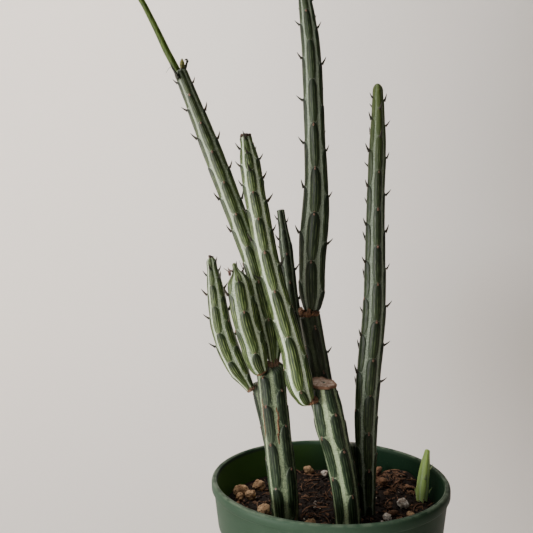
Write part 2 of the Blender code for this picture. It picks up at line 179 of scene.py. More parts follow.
class Sheet:
    """A node tree with one way to add any node, and short names for the common ones."""

    def __init__(self, tree):
        self.tree = tree

    def feed(self, socket, value):
        """Links a value to a socket, or sets the socket to plain numbers."""
        if isinstance(value, Value):
            self.tree.links.new(value.socket, socket)
        elif socket.type == 'RGBA' and len(value) == 3:
            socket.default_value = (*value, 1.0)
        else:
            socket.default_value = value

    def add(self, kind, sockets=None, output=0, **settings):
        """Adds a node, with its settings first and then what feeds its sockets."""
        node = self.tree.nodes.new(kind)
        for name, value in settings.items():
            setattr(node, name, value)
        for key, value in (sockets or {}).items():
            self.feed(node.inputs[key], value)
        return Value(self, node.outputs[output]) if node.outputs else node

    def math(self, operation, *values, clamp=False):
        sockets = dict(enumerate(values))
        return self.add('ShaderNodeMath', sockets, operation=operation, use_clamp=clamp)

    def clamped(self, value):
        return self.math('ADD', value, 0.0, clamp=True)

    def smooth(self, value, low, high, from_value=0.0, to_value=1.0):
        """Eases from one value to another while a value goes from low to high."""
        sockets = {"Value": value, "From Min": low, "From Max": high,
                   "To Min": from_value, "To Max": to_value}
        return self.add('ShaderNodeMapRange', sockets, interpolation_type='SMOOTHSTEP')

    def mix(self, share, first, second, blend='MIX'):
        """Two colours mixed; share 0 gives the first."""
        sockets = {0: share, 6: first, 7: second}
        return self.add('ShaderNodeMix', sockets, output=2, data_type='RGBA', blend_type=blend)

    def noise(self, place, scale, detail=2.0, rough=0.5):
        sockets = {"Vector": place, "Scale": scale, "Detail": detail, "Roughness": rough}
        return self.add('ShaderNodeTexNoise', sockets)

    def cells(self, place, scale, feature='F1', spread=1.0):
        sockets = {"Vector": place, "Scale": scale, "Randomness": spread}
        return self.add('ShaderNodeTexVoronoi', sockets, feature=feature)

    def chance(self, value):
        """A random number from 0 to 1 that is always the same for the same value."""
        return self.add('ShaderNodeTexWhiteNoise', {"W": value}, noise_dimensions='1D')

    def scaled(self, vector, scale):
        return self.add('ShaderNodeVectorMath', {0: vector, "Scale": scale}, operation='SCALE')

    def stretched(self, vector, factors):
        return self.add('ShaderNodeVectorMath', {0: vector, 1: factors}, operation='MULTIPLY')

    def attribute(self, name, kind='FLOAT'):
        """A named attribute in a Geometry Nodes tree."""
        return self.add('GeometryNodeInputNamedAttribute', {"Name": name}, output="Attribute",
                        data_type=kind)


class Finish(Sheet):
    """A material under construction."""

    def __init__(self, name, roughness=0.5, **constants):
        self.material = bpy.data.materials.new(name)
        self.material.use_nodes = True
        super().__init__(self.material.node_tree)
        self.shader = self.tree.nodes["Principled BSDF"]
        self.shader.inputs["Roughness"].default_value = roughness
        for label, value in constants.items():
            self.shader.inputs[label.replace("_", " ")].default_value = value
        self.place = self.add('ShaderNodeTexCoord', output="Object")

    def paint(self, colour, roughness=None, height=None, depth=0.0003, strength=0.6):
        """Feeds the shader and returns the finished material."""
        self.feed(self.shader.inputs["Base Color"], colour)
        if roughness is not None:
            self.feed(self.shader.inputs["Roughness"], roughness)
        if height is not None:
            sockets = {"Height": height, "Distance": depth, "Strength": strength}
            bump = self.add('ShaderNodeBump', sockets)
            self.feed(self.shader.inputs["Normal"], bump)
        return self.material

    def mark(self, name):
        """A per-point value that the piece carries."""
        return self.add('ShaderNodeAttribute', output="Fac", attribute_name=name)


def form(name, sizes):
    """A Geometry Nodes tree with named inputs; returns its sheet and its inputs by name."""
    tree = bpy.data.node_groups.new(name, 'GeometryNodeTree')
    tree.interface.new_socket(name="Geometry", in_out='INPUT', socket_type='NodeSocketGeometry')
    kinds = {float: 'NodeSocketFloat', int: 'NodeSocketInt', type(None): 'NodeSocketMaterial'}
    for label, value in {**sizes, "Material": None}.items():
        socket = tree.interface.new_socket(name=label, in_out='INPUT',
                                           socket_type=kinds[type(value)])
        if value is not None:
            socket.default_value = value
    tree.interface.new_socket(name="Geometry", in_out='OUTPUT',
                              socket_type='NodeSocketGeometry')
    sheet = Sheet(tree)
    source = tree.nodes.new('NodeGroupInput')
    inputs = {socket.name: Value(sheet, socket) for socket in source.outputs if socket.name}
    return sheet, inputs


def end_form(sheet, geometry, material):
    """Ends a tree with real faces and one material."""
    real = sheet.add('GeometryNodeRealizeInstances', {"Geometry": geometry})
    made = sheet.add('GeometryNodeSetMaterial', {"Geometry": real, "Material": material})
    out = sheet.tree.nodes.new('NodeGroupOutput')
    sheet.feed(out.inputs["Geometry"], made)
    return sheet.tree


def settle(piece):
    """Turns what the piece's modifiers make into its own plain mesh."""
    graph = bpy.context.evaluated_depsgraph_get()
    made = piece.evaluated_get(graph)
    mesh = bpy.data.meshes.new_from_object(made, preserve_all_data_layers=True, depsgraph=graph)
    piece.modifiers.clear()
    piece.data = mesh
    mesh.name = piece.name
    return piece


def shape_by(piece, tree, **sizes):
    """Runs a Geometry Nodes tree on a piece and keeps the result."""
    modifier = piece.modifiers.new(tree.name, 'NODES')
    modifier.node_group = tree
    for item in tree.interface.items_tree:
        key = item.name.replace(" ", "_")
        if item.in_out == 'INPUT' and key in sizes:
            modifier[item.identifier] = sizes[key]
    bpy.context.view_layer.update()
    return settle(piece)


# ---------------------------------------------------------------- pieces

def new_piece(name, points, faces, material=None):
    """An object at the origin with its shape in its mesh."""
    mesh = bpy.data.meshes.new(name)
    mesh.from_pydata([tuple(p) for p in points], [], faces)
    if material is not None:
        mesh.materials.append(material)
    piece = bpy.data.objects.new(name, mesh)
    bpy.context.scene.collection.objects.link(piece)
    return piece


def carry(mesh, name, values, kind='FLOAT'):
    """Gives each point of a mesh a named value or vector."""
    attribute = mesh.attributes.new(name, kind, 'POINT')
    key = "value" if kind == 'FLOAT' else "vector"
    attribute.data.foreach_set(key, np.asarray(values, np.float32).ravel())


def hand_over(piece, slot, *nodes):
    """Puts a finished piece on the plant's body, in place of its CAD nodes."""
    piece.data.shade_smooth()
    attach(piece, BODY)
    if nodes:
        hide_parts(*nodes)
    return piece


def spoke(angle):
    """The unit vector this far round from X, level."""
    return Vector((math.cos(angle), math.sin(angle), 0))


def spokes(front, right, angle):
    """Outward directions round every ring of a tube."""
    return (front[:, None, :] * np.cos(angle)[None, :, None]
            + right[:, None, :] * np.sin(angle)[None, :, None])


def ring_quads(rings, sides):
    """The faces between rings of points, which face outwards on an upright tube."""
    quads = []
    for ring in range(rings - 1):
        for side in range(sides):
            a, b = ring * sides + side, ring * sides + (side + 1) % sides
            quads.append((a, b, b + sides, a + sides))
    return quads


def tube_faces(rings, sides):
    """The faces of a tube with a flat end at its foot and at its head."""
    first = tuple(range(sides))[::-1]
    last = tuple(range((rings - 1) * sides, rings * sides))
    return ring_quads(rings, sides) + [first, last]


def face_out(mesh, merge=True):
    """Merges a mesh's doubled points and turns its faces outwards."""
    edit = bmesh.new()
    edit.from_mesh(mesh)
    if merge:
        bmesh.ops.remove_doubles(edit, verts=edit.verts, dist=MERGE)
    bmesh.ops.recalc_face_normals(edit, faces=edit.faces)
    edit.to_mesh(mesh)
    edit.free()


def stand_on(foot, head):
    """The place whose Z axis runs from a foot to a head."""
    turn = (head - foot).to_track_quat('Z', 'Y').to_matrix().to_4x4()
    return Matrix.Translation(foot) @ turn


def direction(degrees):
    """The level direction this far round from the front, towards +X."""
    angle = math.radians(degrees)
    return Vector((math.sin(angle), -math.cos(angle), 0))


def corners(node):
    """The solid's triangles as an array of corner points."""
    mesh = frame["nodes"][node].data
    mesh.calc_loop_triangles()
    points = np.empty(3 * len(mesh.vertices))
    mesh.vertices.foreach_get("co", points)
    order = np.empty(3 * len(mesh.loop_triangles), int)
    mesh.loop_triangles.foreach_get("vertices", order)
    return points.reshape(-1, 3)[order.reshape(-1, 3)]


def section(triangles, height):
    """Area and centre of a solid's level section."""
    above = triangles[:, :, 2] > height
    count = above.sum(axis=1)
    cut = (count == 1) | (count == 2)
    above, upward, triangles = above[cut], count[cut] == 1, triangles[cut]
    lone = np.where(upward, above.argmax(axis=1), (~above).argmax(axis=1))
    rows = np.arange(len(triangles))
    start = triangles[rows, lone]
    ends = []
    for step in (1, 2):
        end = triangles[rows, (lone + step) % 3]
        share = (height - start[:, 2]) / (end[:, 2] - start[:, 2])
        ends.append((start + share[:, None] * (end - start))[:, :2])
    first, second = ends
    turn = np.where(upward, 1, -1) * (first[:, 0] * second[:, 1] - first[:, 1] * second[:, 0])
    area = turn.sum() / 2
    centre = ((first + second) * turn[:, None]).sum(axis=0) / (6 * area)
    return abs(area), centre


def eased(values, rounds=10):
    """The same curve without its small kinks; its ends stay."""
    values = np.array(values, float)
    for _ in range(rounds):
        values[1:-1] = (values[:-2] + 2 * values[1:-1] + values[2:]) / 4
    return values


class Spine:
    """A stem's centre line and ridge radius, read off its solid.

    fit has knots of (share of the height, shift to the right in mm, factor on the radius), which
    draw the skin's outline out or in where the plain solid is too simple.
    """

    def __init__(self, node, ribs=RIBS, valley=CAD_VALLEY, top_cut=1.0, rooted=False,
                 extra=0.0, deeper=0.0, skip=1.6, fit=((0, 0, 1), (1, 0, 1))):
        triangles = corners(node)
        low = triangles[:, :, 2].min()
        high = triangles[:, :, 2].max()
        if rooted:
            low += (ROOT_DEPTH - BURIED) * MM
        skip_low = 0.5 * MM if rooted else skip * MM
        levels = np.arange(low + skip_low, high - top_cut * MM, MM)
        found = [section(triangles, level) for level in levels]
        flat = np.array([centre for _, centre in found])
        area = np.array([value for value, _ in found])
        lean = np.hypot(*np.gradient(flat, levels, axis=0).T)
        share = ribs * valley * math.sin(math.pi / ribs)
        radius = np.sqrt(area / np.hypot(1, lean) / share)
        low, high = low - deeper * MM, high + extra * MM
        levels, flat, radius = self.to_ends(levels, flat, radius, low, high)
        line = np.column_stack([eased(flat), levels])
        shares = (levels - low) / (high - low)
        knots = [knot[0] for knot in fit]
        line[:, 0] += np.interp(shares, knots, [knot[1] * MM for knot in fit])
        radius = radius * np.interp(shares, knots, [knot[2] for knot in fit])
        gaps = np.linalg.norm(np.diff(line, axis=0), axis=1)
        self.along = np.concatenate([[0], np.cumsum(gaps)])
        self.line = line
        self.radius = eased(radius, 4)
        self.length = self.along[-1]

    def to_ends(self, levels, flat, radius, low, high):
        """Carries the line straight on to the solid's two ends."""
        below = np.linspace(low, levels[0], max(2, round((levels[0] - low) / MM)) + 1)[:-1]
        above = np.linspace(levels[-1], high, max(2, round((high - levels[-1]) / MM)) + 1)[1:]
        slope = (flat[5] - flat[0]) / (levels[5] - levels[0])
        first = flat[0] + slope * (below - levels[0])[:, None]
        slope = (flat[-1] - flat[-6]) / (levels[-1] - levels[-6])
        last = flat[-1] + slope * (above - levels[-1])[:, None]
        return (np.concatenate([below, levels, above]), np.vstack([first, flat, last]),
                np.concatenate([below * 0 + radius[0], radius, above * 0 + radius[-1]]))

    def at(self, distance):
        """Centre, radius and own right, front and up directions at distances along the stem."""
        distance = np.atleast_1d(distance)
        pick = [np.interp(distance, self.along, self.line[:, i]) for i in range(3)]
        centre = np.column_stack(pick)
        step = 1.5 * MM
        ahead = [np.interp(distance + step, self.along, self.line[:, i]) for i in range(3)]
        behind = [np.interp(distance - step, self.along, self.line[:, i]) for i in range(3)]
        up = np.column_stack(ahead) - np.column_stack(behind)
        up /= np.linalg.norm(up, axis=1)[:, None]
        front = np.array([0, -1.0, 0]) - up * (-up[:, 1])[:, None]
        front /= np.linalg.norm(front, axis=1)[:, None]
        right = np.cross(up, front)
        return centre, np.interp(distance, self.along, self.radius), right, front, up

    def distance_at(self, height):
        """The distance along the stem at a height, both in metres."""
        return float(np.interp(height, self.line[:, 2], self.along))


# ---------------------------------------------------------------- the ribs' rule

def cushion_place(sheet, around, joint, hand):
    """Across the rib from its ridge, up the cushion from its foot, and the cushion's number."""
    rib = sheet.math('FLOOR', around + 0.5)
    across = around - rib
    rib = sheet.math('MODULO', rib, float(RIBS))
    level = joint + sheet.math('FRACT', rib * hand * SPIRAL)
    return across, sheet.math('FRACT', level), sheet.math('FLOOR', level) + rib * 37.0


def cushion_half_width(sheet, rise, half):
    """Half the width of a cushion, which is round at its top and drawn in at its foot."""
    into_foot = sheet.clamped(1.0 - rise / FOOT_SHARE)
    foot = 1.0 - into_foot ** 2.0 * (1.0 - FOOT_WIDTH)
    into_crown = sheet.clamped((rise - (1 - CROWN_SHARE)) / CROWN_SHARE)
    crown = sheet.math('SQRT', sheet.clamped(1.0 - into_crown * into_crown))
    return sheet.math('MAXIMUM', half * foot * crown, NARROWEST)


def ribbed_form():
    """Raises a smooth stem into ribs, and each rib into a row of cushions."""
    sizes = {"Groove Depth": GROOVE_DEPTH, "Cushion Height": CUSHION_HEIGHT,
             "Half Width": 0.36, "Hand": 1.0, "Grain": 0.00012}
    sheet, given = form("ribbed stem", sizes)
    around = sheet.attribute("around")
    joint = sheet.attribute("joint")
    reach = sheet.attribute("reach")
    soft = sheet.attribute("soft")
    outward = sheet.attribute("outward", 'FLOAT_VECTOR')
    across, rise, _ = cushion_place(sheet, around, joint, given["Hand"])
    half = cushion_half_width(sheet, rise, given["Half Width"])
    dome = sheet.math('SQRT', sheet.clamped(1.0 - (across / half) ** 2.0))
    high = dome * sheet.smooth(rise, 0.0, 0.9, FOOT_LIFT, 1.0)
    groove = sheet.math('SINE', abs(across) * math.pi) ** 2.0
    place = sheet.add('GeometryNodeInputPosition')
    grain = (sheet.noise(place, 420.0, 3.0) - 0.5) * given["Grain"]
    swell = given["Cushion Height"] * high - given["Groove Depth"] * groove - SKIN_SINK
    offset = sheet.scaled(outward, (reach * swell + grain) * soft)
    moved = sheet.add('GeometryNodeSetPosition',
                      {"Geometry": given["Geometry"], "Offset": offset})
    return end_form(sheet, moved, given["Material"])


# ---------------------------------------------------------------- finishes

# Each look has the colours of a cushion's crown, its foot and its fine lines, of the pale bands
# between cushions and their grey patches; half is a cushion's half width in rib pitches.
LOOKS = {
    "silver": {"shade": (0.0029, 0.0095, 0.0020), "mid": (0.0171, 0.0326, 0.0090),
               "line": (0.076, 0.110, 0.0420), "band": (0.314, 0.373, 0.280),
               "grey": (0.076, 0.102, 0.066), "half": 0.41, "lines": 0.8},
    "olive": {"shade": (0.0057, 0.0147, 0.0030), "mid": (0.0323, 0.060, 0.0130),
              "line": (0.218, 0.294, 0.090), "band": (0.665, 0.766, 0.560),
              "grey": (0.162, 0.215, 0.130), "half": 0.40, "lines": 0.85},
    "old": {"shade": (0.0029, 0.0105, 0.0030), "mid": (0.0133, 0.0284, 0.0120),
            "line": (0.076, 0.116, 0.055), "band": (0.399, 0.493, 0.290),
            "grey": (0.085, 0.121, 0.066), "half": 0.36, "lines": 0.85},
    "dark": {"shade": (0.0057, 0.0095, 0.0030), "mid": (0.0142, 0.0221, 0.0070),
             "line": (0.0427, 0.059, 0.0240), "band": (0.076, 0.097, 0.050),
             "grey": (0.0304, 0.0420, 0.0200), "half": 0.38, "lines": 0.55},
    "young": {"shade": (0.330, 0.480, 0.150), "mid": (0.380, 0.540, 0.200),
              "line": (0.430, 0.590, 0.280), "band": (0.480, 0.640, 0.360),
              "grey": (0.400, 0.550, 0.240), "half": 0.38, "lines": 0.4,
              "tip": (0.240, 0.370, 0.022)},
}
YOUNG_GREEN = (0.085, 0.128, 0.008)
# Near-black green that the stems' skins are mixed towards as painted shade.
PAINTED_SHADE_GREEN = (0.003, 0.004, 0.002)
SCAR_PINK = (0.200, 0.110, 0.075)


def pale_lines(skin, spread, rise, streak):
    """Fine broken lines along a cushion, which fade towards its crown."""
    waves = 0.5 + 0.5 * skin.math('COSINE', spread * (5 * math.pi))
    broken = skin.smooth(streak, 0.38, 0.60)
    below_crown = skin.smooth(rise, 0.95, 0.60)
    return waves ** 2.5 * (0.2 + 0.9 * broken) * (0.15 + 0.85 * below_crown)


def cushion_colour(skin, colours, rise, streak, lines, tone):
    """A cushion's colour, darkest at its crown."""
    foot = skin.smooth(rise, 0.75, 0.0)
    body = skin.mix(foot * 0.7, colours["shade"], colours["mid"])
    body = skin.mix(tone * 0.35, body, colours["mid"])
    body = skin.mix(skin.smooth(streak, 0.45, 0.8) * foot * 0.5, body, colours["line"])
    return skin.mix(lines, body, colours["line"])


def band_colour(skin, colours, across, streak, mottle, tone):
    """The pale skin between cushions, with small grey rings and patches and streaked edges."""
    rings = skin.cells(skin.place, 1500.0)
    dots = skin.smooth(abs(rings - 0.40), 0.12, 0.03) * 0.45
    core = skin.smooth(abs(across), 0.30, 0.46)
    grey_share = tone * 0.6 + mottle * 0.3 + dots + (1.0 - core) * 0.45 + streak * 0.5 - 0.45
    band = skin.mix(skin.clamped(grey_share), colours["band"], colours["grey"])
    between = (1.0 - core) * skin.smooth(streak, 0.42, 0.58) * 0.7
    return skin.mix(between, band, colours["mid"])


def stem_skin(name, look, hand, seed):
    """Dark cushions with fine pale lines, between pale mottled bands."""
    skin = Finish(name, 0.45, Specular_IOR_Level=0.3)
    colours = LOOKS[look]
    around = skin.add('ShaderNodeSeparateXYZ',
                      {0: skin.add('ShaderNodeUVMap', uv_map="Skin")})
    joint = around.other("Y")
    across, rise, number = cushion_place(skin, around, joint, float(hand))
    half = cushion_half_width(skin, rise, colours["half"])
    wander = (skin.noise(skin.place, 600.0, 2.0) - 0.5) * 0.09
    mottle = skin.smooth(skin.noise(skin.place, 1300.0, 3.0, 0.6), 0.35, 0.65)
    lengthwise = skin.add('ShaderNodeCombineXYZ', {"X": across, "Y": joint * 0.4, "Z": number})
    streak = skin.noise(lengthwise, 11.0, 3.0, 0.6)

    lines = pale_lines(skin, across / half + wander * 0.4, rise, streak) * colours["lines"]
    cushion = cushion_colour(skin, colours, rise, streak, lines, skin.chance(number + seed))
    rib_tone = skin.chance(skin.math('FLOOR', around) + seed * 3.1)
    band = band_colour(skin, colours, across, streak, mottle, rib_tone)
    inside = skin.smooth(half - abs(across) + wander * 0.5, -0.012, 0.03)
    colour = skin.mix(inside, band, cushion)

    fresh = skin.mix(0.3, colours.get("tip", YOUNG_GREEN), colour)
    colour = skin.mix(skin.mark("young") * 0.9, colour, fresh)
    near = abs(skin.math('FRACT', rise + 0.5) - 0.5)
    ring = skin.math('SQRT', (across / 0.06) ** 2.0 + (near / 0.022) ** 2.0)
    scar = skin.smooth(ring, 1.2, 0.7) * skin.chance(number * 1.7 + seed) * 0.9
    colour = skin.mix(scar, colour, SCAR_PINK)
    # Painted shade: the skin darkens towards near-black green by the share that each ring carries.
    colour = skin.mix(1.0 - skin.mark("bright"), colour, PAINTED_SHADE_GREEN)
    rough = 0.40 + mottle * 0.12 + (1.0 - inside) * 0.1
    height = lines * 0.5 + skin.noise(skin.place, 2600.0, 2.0) * 0.4 + inside
    return skin.paint(colour, rough, height, 0.00028, 0.6)


def leaf_skin(name, dark, light, flecked):
    """Drying leaves, each with its own tint between dark and light."""
    skin = Finish(name, 0.6, Specular_IOR_Level=0.25)
    tint = skin.mark("tint")
    colour = skin.mix(tint, dark, light)
    colour = skin.mix(skin.noise(skin.place, 1500.0), colour, flecked)
    return skin.paint(colour, 0.5 + tint * 0.2, skin.noise(skin.place, 4000.0), 0.0001)


def cork_skin(name, fresh, old):
    """Dry cork: orange brown, darker in its cracks."""
    skin = Finish(name, 0.85)
    flakes = skin.noise(skin.place, 1300.0, 4.0, 0.65)
    cracks = skin.smooth(skin.cells(skin.place, 1500.0, 'DISTANCE_TO_EDGE'), 0.0, 0.14)
    colour = skin.mix(skin.smooth(flakes, 0.38, 0.66), old, fresh)
    colour = skin.mix(cracks, (old[0] * 0.4, old[1] * 0.4, old[2] * 0.4), colour)
    return skin.paint(colour, 0.75 + flakes * 0.2, flakes + cracks * 0.4, 0.0004)


def pot_skin():
    """Dark green moulded plastic, a little dusty, lighter in patches along the top of the lip,
    partly wear and partly a painted highlight.

    Painted shade darkens its left side a little and its right side, away from the window, more;
    inside, it has painted light green on the left and painted shade on the right.
    """
    skin = Finish("pot_plastic", 0.5, Specular_IOR_Level=0.12)
    side = skin.add('ShaderNodeSeparateXYZ', {0: skin.place})
    rise = side.other("Z")
    cloud = skin.noise(skin.place, 55.0, 4.0)
    lines = skin.noise(skin.stretched(skin.place, (0.06, 0.06, 1.0)), 900.0, 3.0)
    specks = skin.smooth(skin.noise(skin.place, 2200.0, 1.0), 0.70, 0.80)
    colour = skin.mix(skin.smooth(cloud, 0.3, 0.7), (0.029, 0.059, 0.036), (0.040, 0.073, 0.047))
    colour = skin.mix(lines * 0.15, colour, (0.050, 0.080, 0.045))
    # Painted shade: darker green on the right side, away from the window.
    painted_right_shade = skin.smooth(side + (cloud - 0.5) * 0.02, 0.005, 0.050)
    colour = skin.mix(painted_right_shade * 0.9, colour, (0.004, 0.019, 0.006))
    # Painted shade on the left side too, lighter than on the right.
    colour = skin.mix(skin.smooth(side, -0.020, -0.045) * 0.45, colour, (0.008, 0.022, 0.010))
    reach = skin.add('ShaderNodeVectorMath', {0: skin.stretched(skin.place, (1.0, 1.0, 0.0))},
                     output="Value", operation='LENGTH')
    slope = (POT_RADIUS - LIP_PROUD * MM - POT_BASE * MM) / (POT_HIGH - LIP_HEIGHT * MM)
    inner = skin.smooth(reach - rise * slope, (POT_BASE - 0.4) * MM, (POT_BASE - 0.9) * MM)
    below = skin.smooth(rise, POT_HIGH - 1.0 * MM, POT_HIGH - 2.5 * MM)
    inner = inner * below
    # Painted light and shade inside the wall: light green on the left, near-black green on the
    # right.
    painted_inner_light_and_shade = skin.mix(skin.smooth(side, -0.035, 0.015), (0.055, 0.125, 0.022), (0.002, 0.016, 0.006))
    colour = skin.mix(inner * 0.85, colour, painted_inner_light_and_shade)
    top = skin.smooth(rise, POT_HIGH - 0.9 * MM, POT_HIGH)
    # Lighter patches along the top of the rim: partly wear, partly a painted highlight.
    rim_wear_and_highlight = top * skin.smooth(skin.noise(skin.place, 260.0, 3.0), 0.35, 0.6) * 0.6
    colour = skin.mix(rim_wear_and_highlight, colour, (0.110, 0.145, 0.100))
    colour = skin.mix(specks * 0.3, colour, (0.13, 0.14, 0.10))
    rough = 0.42 + cloud * 0.2 + specks * 0.2 + inner * 0.3
    return skin.paint(colour, rough, lines * 0.6 + cloud * 0.4, 0.0002, 0.35)


def grit_skin(name, dark, light, scale, porous=0.5):
    """Rough lumps whose colour changes from piece to piece and from spot to spot."""
    skin = Finish(name, 0.9, Specular_IOR_Level=0.25)
    tint = skin.mark("tint")
    patches = skin.noise(skin.place, scale, 4.0, 0.65)
    pores = skin.smooth(skin.cells(skin.place, scale * 2.6), 0.12, 0.42)
    share = skin.clamped(skin.smooth(patches, 0.36, 0.66) * 0.7 + tint * 0.45)
    colour = skin.mix(share, dark, light)
    colour = skin.mix((1.0 - pores) * porous, colour,
                      (dark[0] * 0.35, dark[1] * 0.3, dark[2] * 0.28))
    return skin.paint(colour, 0.82 + patches * 0.15, patches + pores * 0.6, 0.0005, 0.8)


# ---------------------------------------------------------------- stems

Site = namedtuple("Site", "place outward up size leafed")


class Stem:
    """One ribbed stem, built round the line of its CAD solid.

    turn is the first rib's place in degrees from the front, and hand is 1 or -1 for the way that
    the cushions climb from rib to rib. cushions has knots of (share of the length, length of a
    cushion in mm), and a cushion of the first rib starts at joint_height. tip is the height of
    the rounded tip in ridge radii, and slant tips the cut end. The last young mm are fresh green.
    leafy is the share of the length above which leaves are kept, and how many of them; below
    front_leaves those at the front have dropped. bright is the share of the skin's colour kept at
    foot and tip; the rest is painted shade, a darkening towards near-black green.
    """

    def __init__(self, node, look, slot, turn, hand, cushions, joint_height, seed,
                 tip=0.8, top_cut=1.0, rooted=False, slant=(0.0, 0.0), young=0.0,
                 leafy=(1.0, 0.0), front_leaves=1.0, cushion_height=CUSHION_HEIGHT,
                 extra=0.0, fit=((0, 0, 1), (1, 0, 1)), bright=(1.0, 1.0)):
        self.node, self.look, self.slot, self.seed = node, look, slot, seed
        self.turn, self.hand, self.leafy, self.front_leaves = turn, hand, leafy, front_leaves
        self.bright = bright
        self.spine = Spine(node, top_cut=top_cut, rooted=rooted, extra=extra, fit=fit)
        self.rooted, self.slant, self.young = rooted, slant, young * MM
        self.tip, self.cushion_height = tip, cushion_height
        spine = self.spine
        shares = spine.along / spine.length
        size = np.interp(shares, [k[0] for k in cushions], [k[1] * MM for k in cushions])
        steps = np.diff(spine.along) * 2 / (size[1:] + size[:-1])
        self.joint = np.concatenate([[0], np.cumsum(steps)])
        start = np.interp(spine.distance_at(joint_height * MM), spine.along, self.joint)
        self.joint -= start - math.ceil(start)
        self.build()

    def stations(self):
        """Distances along the stem, with the share of the full radius that each ring has."""
        spine = self.spine
        top = self.tip * float(spine.at(spine.length)[1][0])
        low = 0.0 if self.rooted else FOOT_ROUNDING * float(spine.at(0)[1][0])
        count = max(8, round((spine.length - top - low) / (RING_STEP * MM)))
        body = np.linspace(low, spine.length - top, count)
        angles = np.linspace(0, math.pi / 2, 9)[1:-1]
        upper = spine.length - top + top * np.sin(angles)
        lower = low - low * np.sin(angles[::-1])
        if self.rooted:
            return np.concatenate([body, upper]), np.concatenate([body * 0 + 1, np.cos(angles)])
        return (np.concatenate([lower, body, upper]),
                np.concatenate([np.cos(angles[::-1]), body * 0 + 1, np.cos(angles)]))

    def build(self):
        """Wraps rings of points round the spine and raises its ribs and cushions."""
        spine = self.spine
        distance, closing = self.stations()
        centre, radius, right, front, _ = spine.at(distance)
        around = np.arange(COLUMNS) * RIBS / COLUMNS
        outward = spokes(front, right, np.radians(self.turn) + around * 2 * math.pi / RIBS)
        reach = radius * closing
        points = centre[:, None, :] + outward * reach[:, None, None]
        ramp = np.clip(4 * distance / spine.length - 3, 0, 1)[:, None]
        offset = points - centre[:, None, :]
        tilt = offset[:, :, 0] * self.slant[0] + offset[:, :, 1] * self.slant[1]
        points[:, :, 2] += tilt * ramp
        joint = np.interp(distance, spine.along, self.joint)
        rings, self.rings = len(distance), distance
        ends = np.vstack([spine.at(0)[0], spine.at(spine.length)[0]])
        faces, skin = self.cover(joint)
        piece = new_piece(self.node + "_skin", np.vstack([points.reshape(-1, 3), ends]), faces)
        mesh = piece.data
        layer = mesh.uv_layers.new(name="Skin")
        layer.data.foreach_set("uv", np.array(skin, np.float32).ravel())
        young = np.clip((distance - (spine.length - self.young)) / max(self.young, MM), 0, 1)
        # The share of the skin's colour kept at each ring; the rest is painted shade.
        bright = np.interp(distance / spine.length, [0, 1], self.bright)
        carry(mesh, "around", np.concatenate([np.tile(around, rings), [0, 0]]))
        by_ring = {"joint": joint, "reach": reach, "soft": closing, "young": young ** YOUNG_FADE,
                   "bright": bright}
        for label, values in by_ring.items():
            carry(mesh, label, np.concatenate([np.repeat(values, COLUMNS), [0, 0]]))
        carry(mesh, "outward", np.vstack([outward.reshape(-1, 3), [[0, 0, 0], [0, 0, 1]]]),
              'FLOAT_VECTOR')
        material = stem_skin(self.node + "_green", self.look, self.hand, self.seed)
        shape_by(piece, RIBBED, Hand=float(self.hand), Material=material,
                 Half_Width=LOOKS[self.look]["half"], Cushion_Height=self.cushion_height)
        self.piece = hand_over(piece, self.slot, self.node)

    def cover(self, joint):
        """The skin's faces, and the place round and along the stem of each of their corners."""
        rings = len(joint)
        faces, skin = ring_quads(rings, COLUMNS), []
        places = np.arange(COLUMNS + 1) * RIBS / COLUMNS
        for low, high in zip(joint, joint[1:]):
            for left, far in zip(places, places[1:]):
                skin += [(left, low), (far, low), (far, high), (left, high)]
        foot, head = rings * COLUMNS, rings * COLUMNS + 1
        last = (rings - 1) * COLUMNS
        for column in range(COLUMNS):
            after = (column + 1) % COLUMNS
            left, far = places[column], places[column + 1]
            faces.append((foot, after, column))
            skin += [(left, joint[0]), (far, joint[0]), (left, joint[0])]
            faces.append((head, last + column, last + after))
            skin += [(left, joint[-1]), (left, joint[-1]), (far, joint[-1])]
        return faces, skin

    def surface(self, around, distance):
        """The point of the finished surface at a place round and along the stem."""
        ring = int(np.abs(self.rings - distance).argmin())
        column = round(around * COLUMNS / RIBS) % COLUMNS
        return self.piece.data.vertices[ring * COLUMNS + column].co.copy()

    def frame_at(self, around, distance):
        """The outward and upward directions there."""
        _, _, right, front, up = (part[0] for part in self.spine.at(distance))
        angle = math.radians(self.turn) + around * 2 * math.pi / RIBS
        outward = front * math.cos(angle) + right * math.sin(angle)
        return Vector(outward), Vector(up)

    def sites(self, dice):
        """Every cushion's top: its place, its directions and whether its leaf is still there."""
        found = []
        shift = self.joint.min()
        for rib in range(RIBS):
            phase = (rib * self.hand * SPIRAL) % 1.0
            facing = (self.turn + 72 * rib + 180) % 360 - 180
            for number in range(math.ceil(shift + phase), math.ceil(self.joint.max() + phase)):
                distance = float(np.interp(number - SITE_DROP - phase, self.joint,
                                           self.spine.along))
                share = distance / self.spine.length
                bare = BARE_YOUNG_TIP if self.young > LONG_YOUNG * MM else BARE_TIP
                if distance > self.spine.length - bare * MM or distance < BARE_FOOT * MM:
                    continue
                chance = self.leafy[1] if share > self.leafy[0] else 0.0
                if abs(facing) < FRONT_ARC and share < self.front_leaves:
                    chance = 0.0
                outward, up = self.frame_at(rib, distance)
                girth = float(self.spine.at(distance)[1][0]) / MM
                size = dice.uniform(0.8, 1.15) * min(1.0, 0.6 + 0.1 * girth)
                found.append(Site(self.surface(rib, distance), outward, up, size,
                                  dice.random() < chance))
        return found


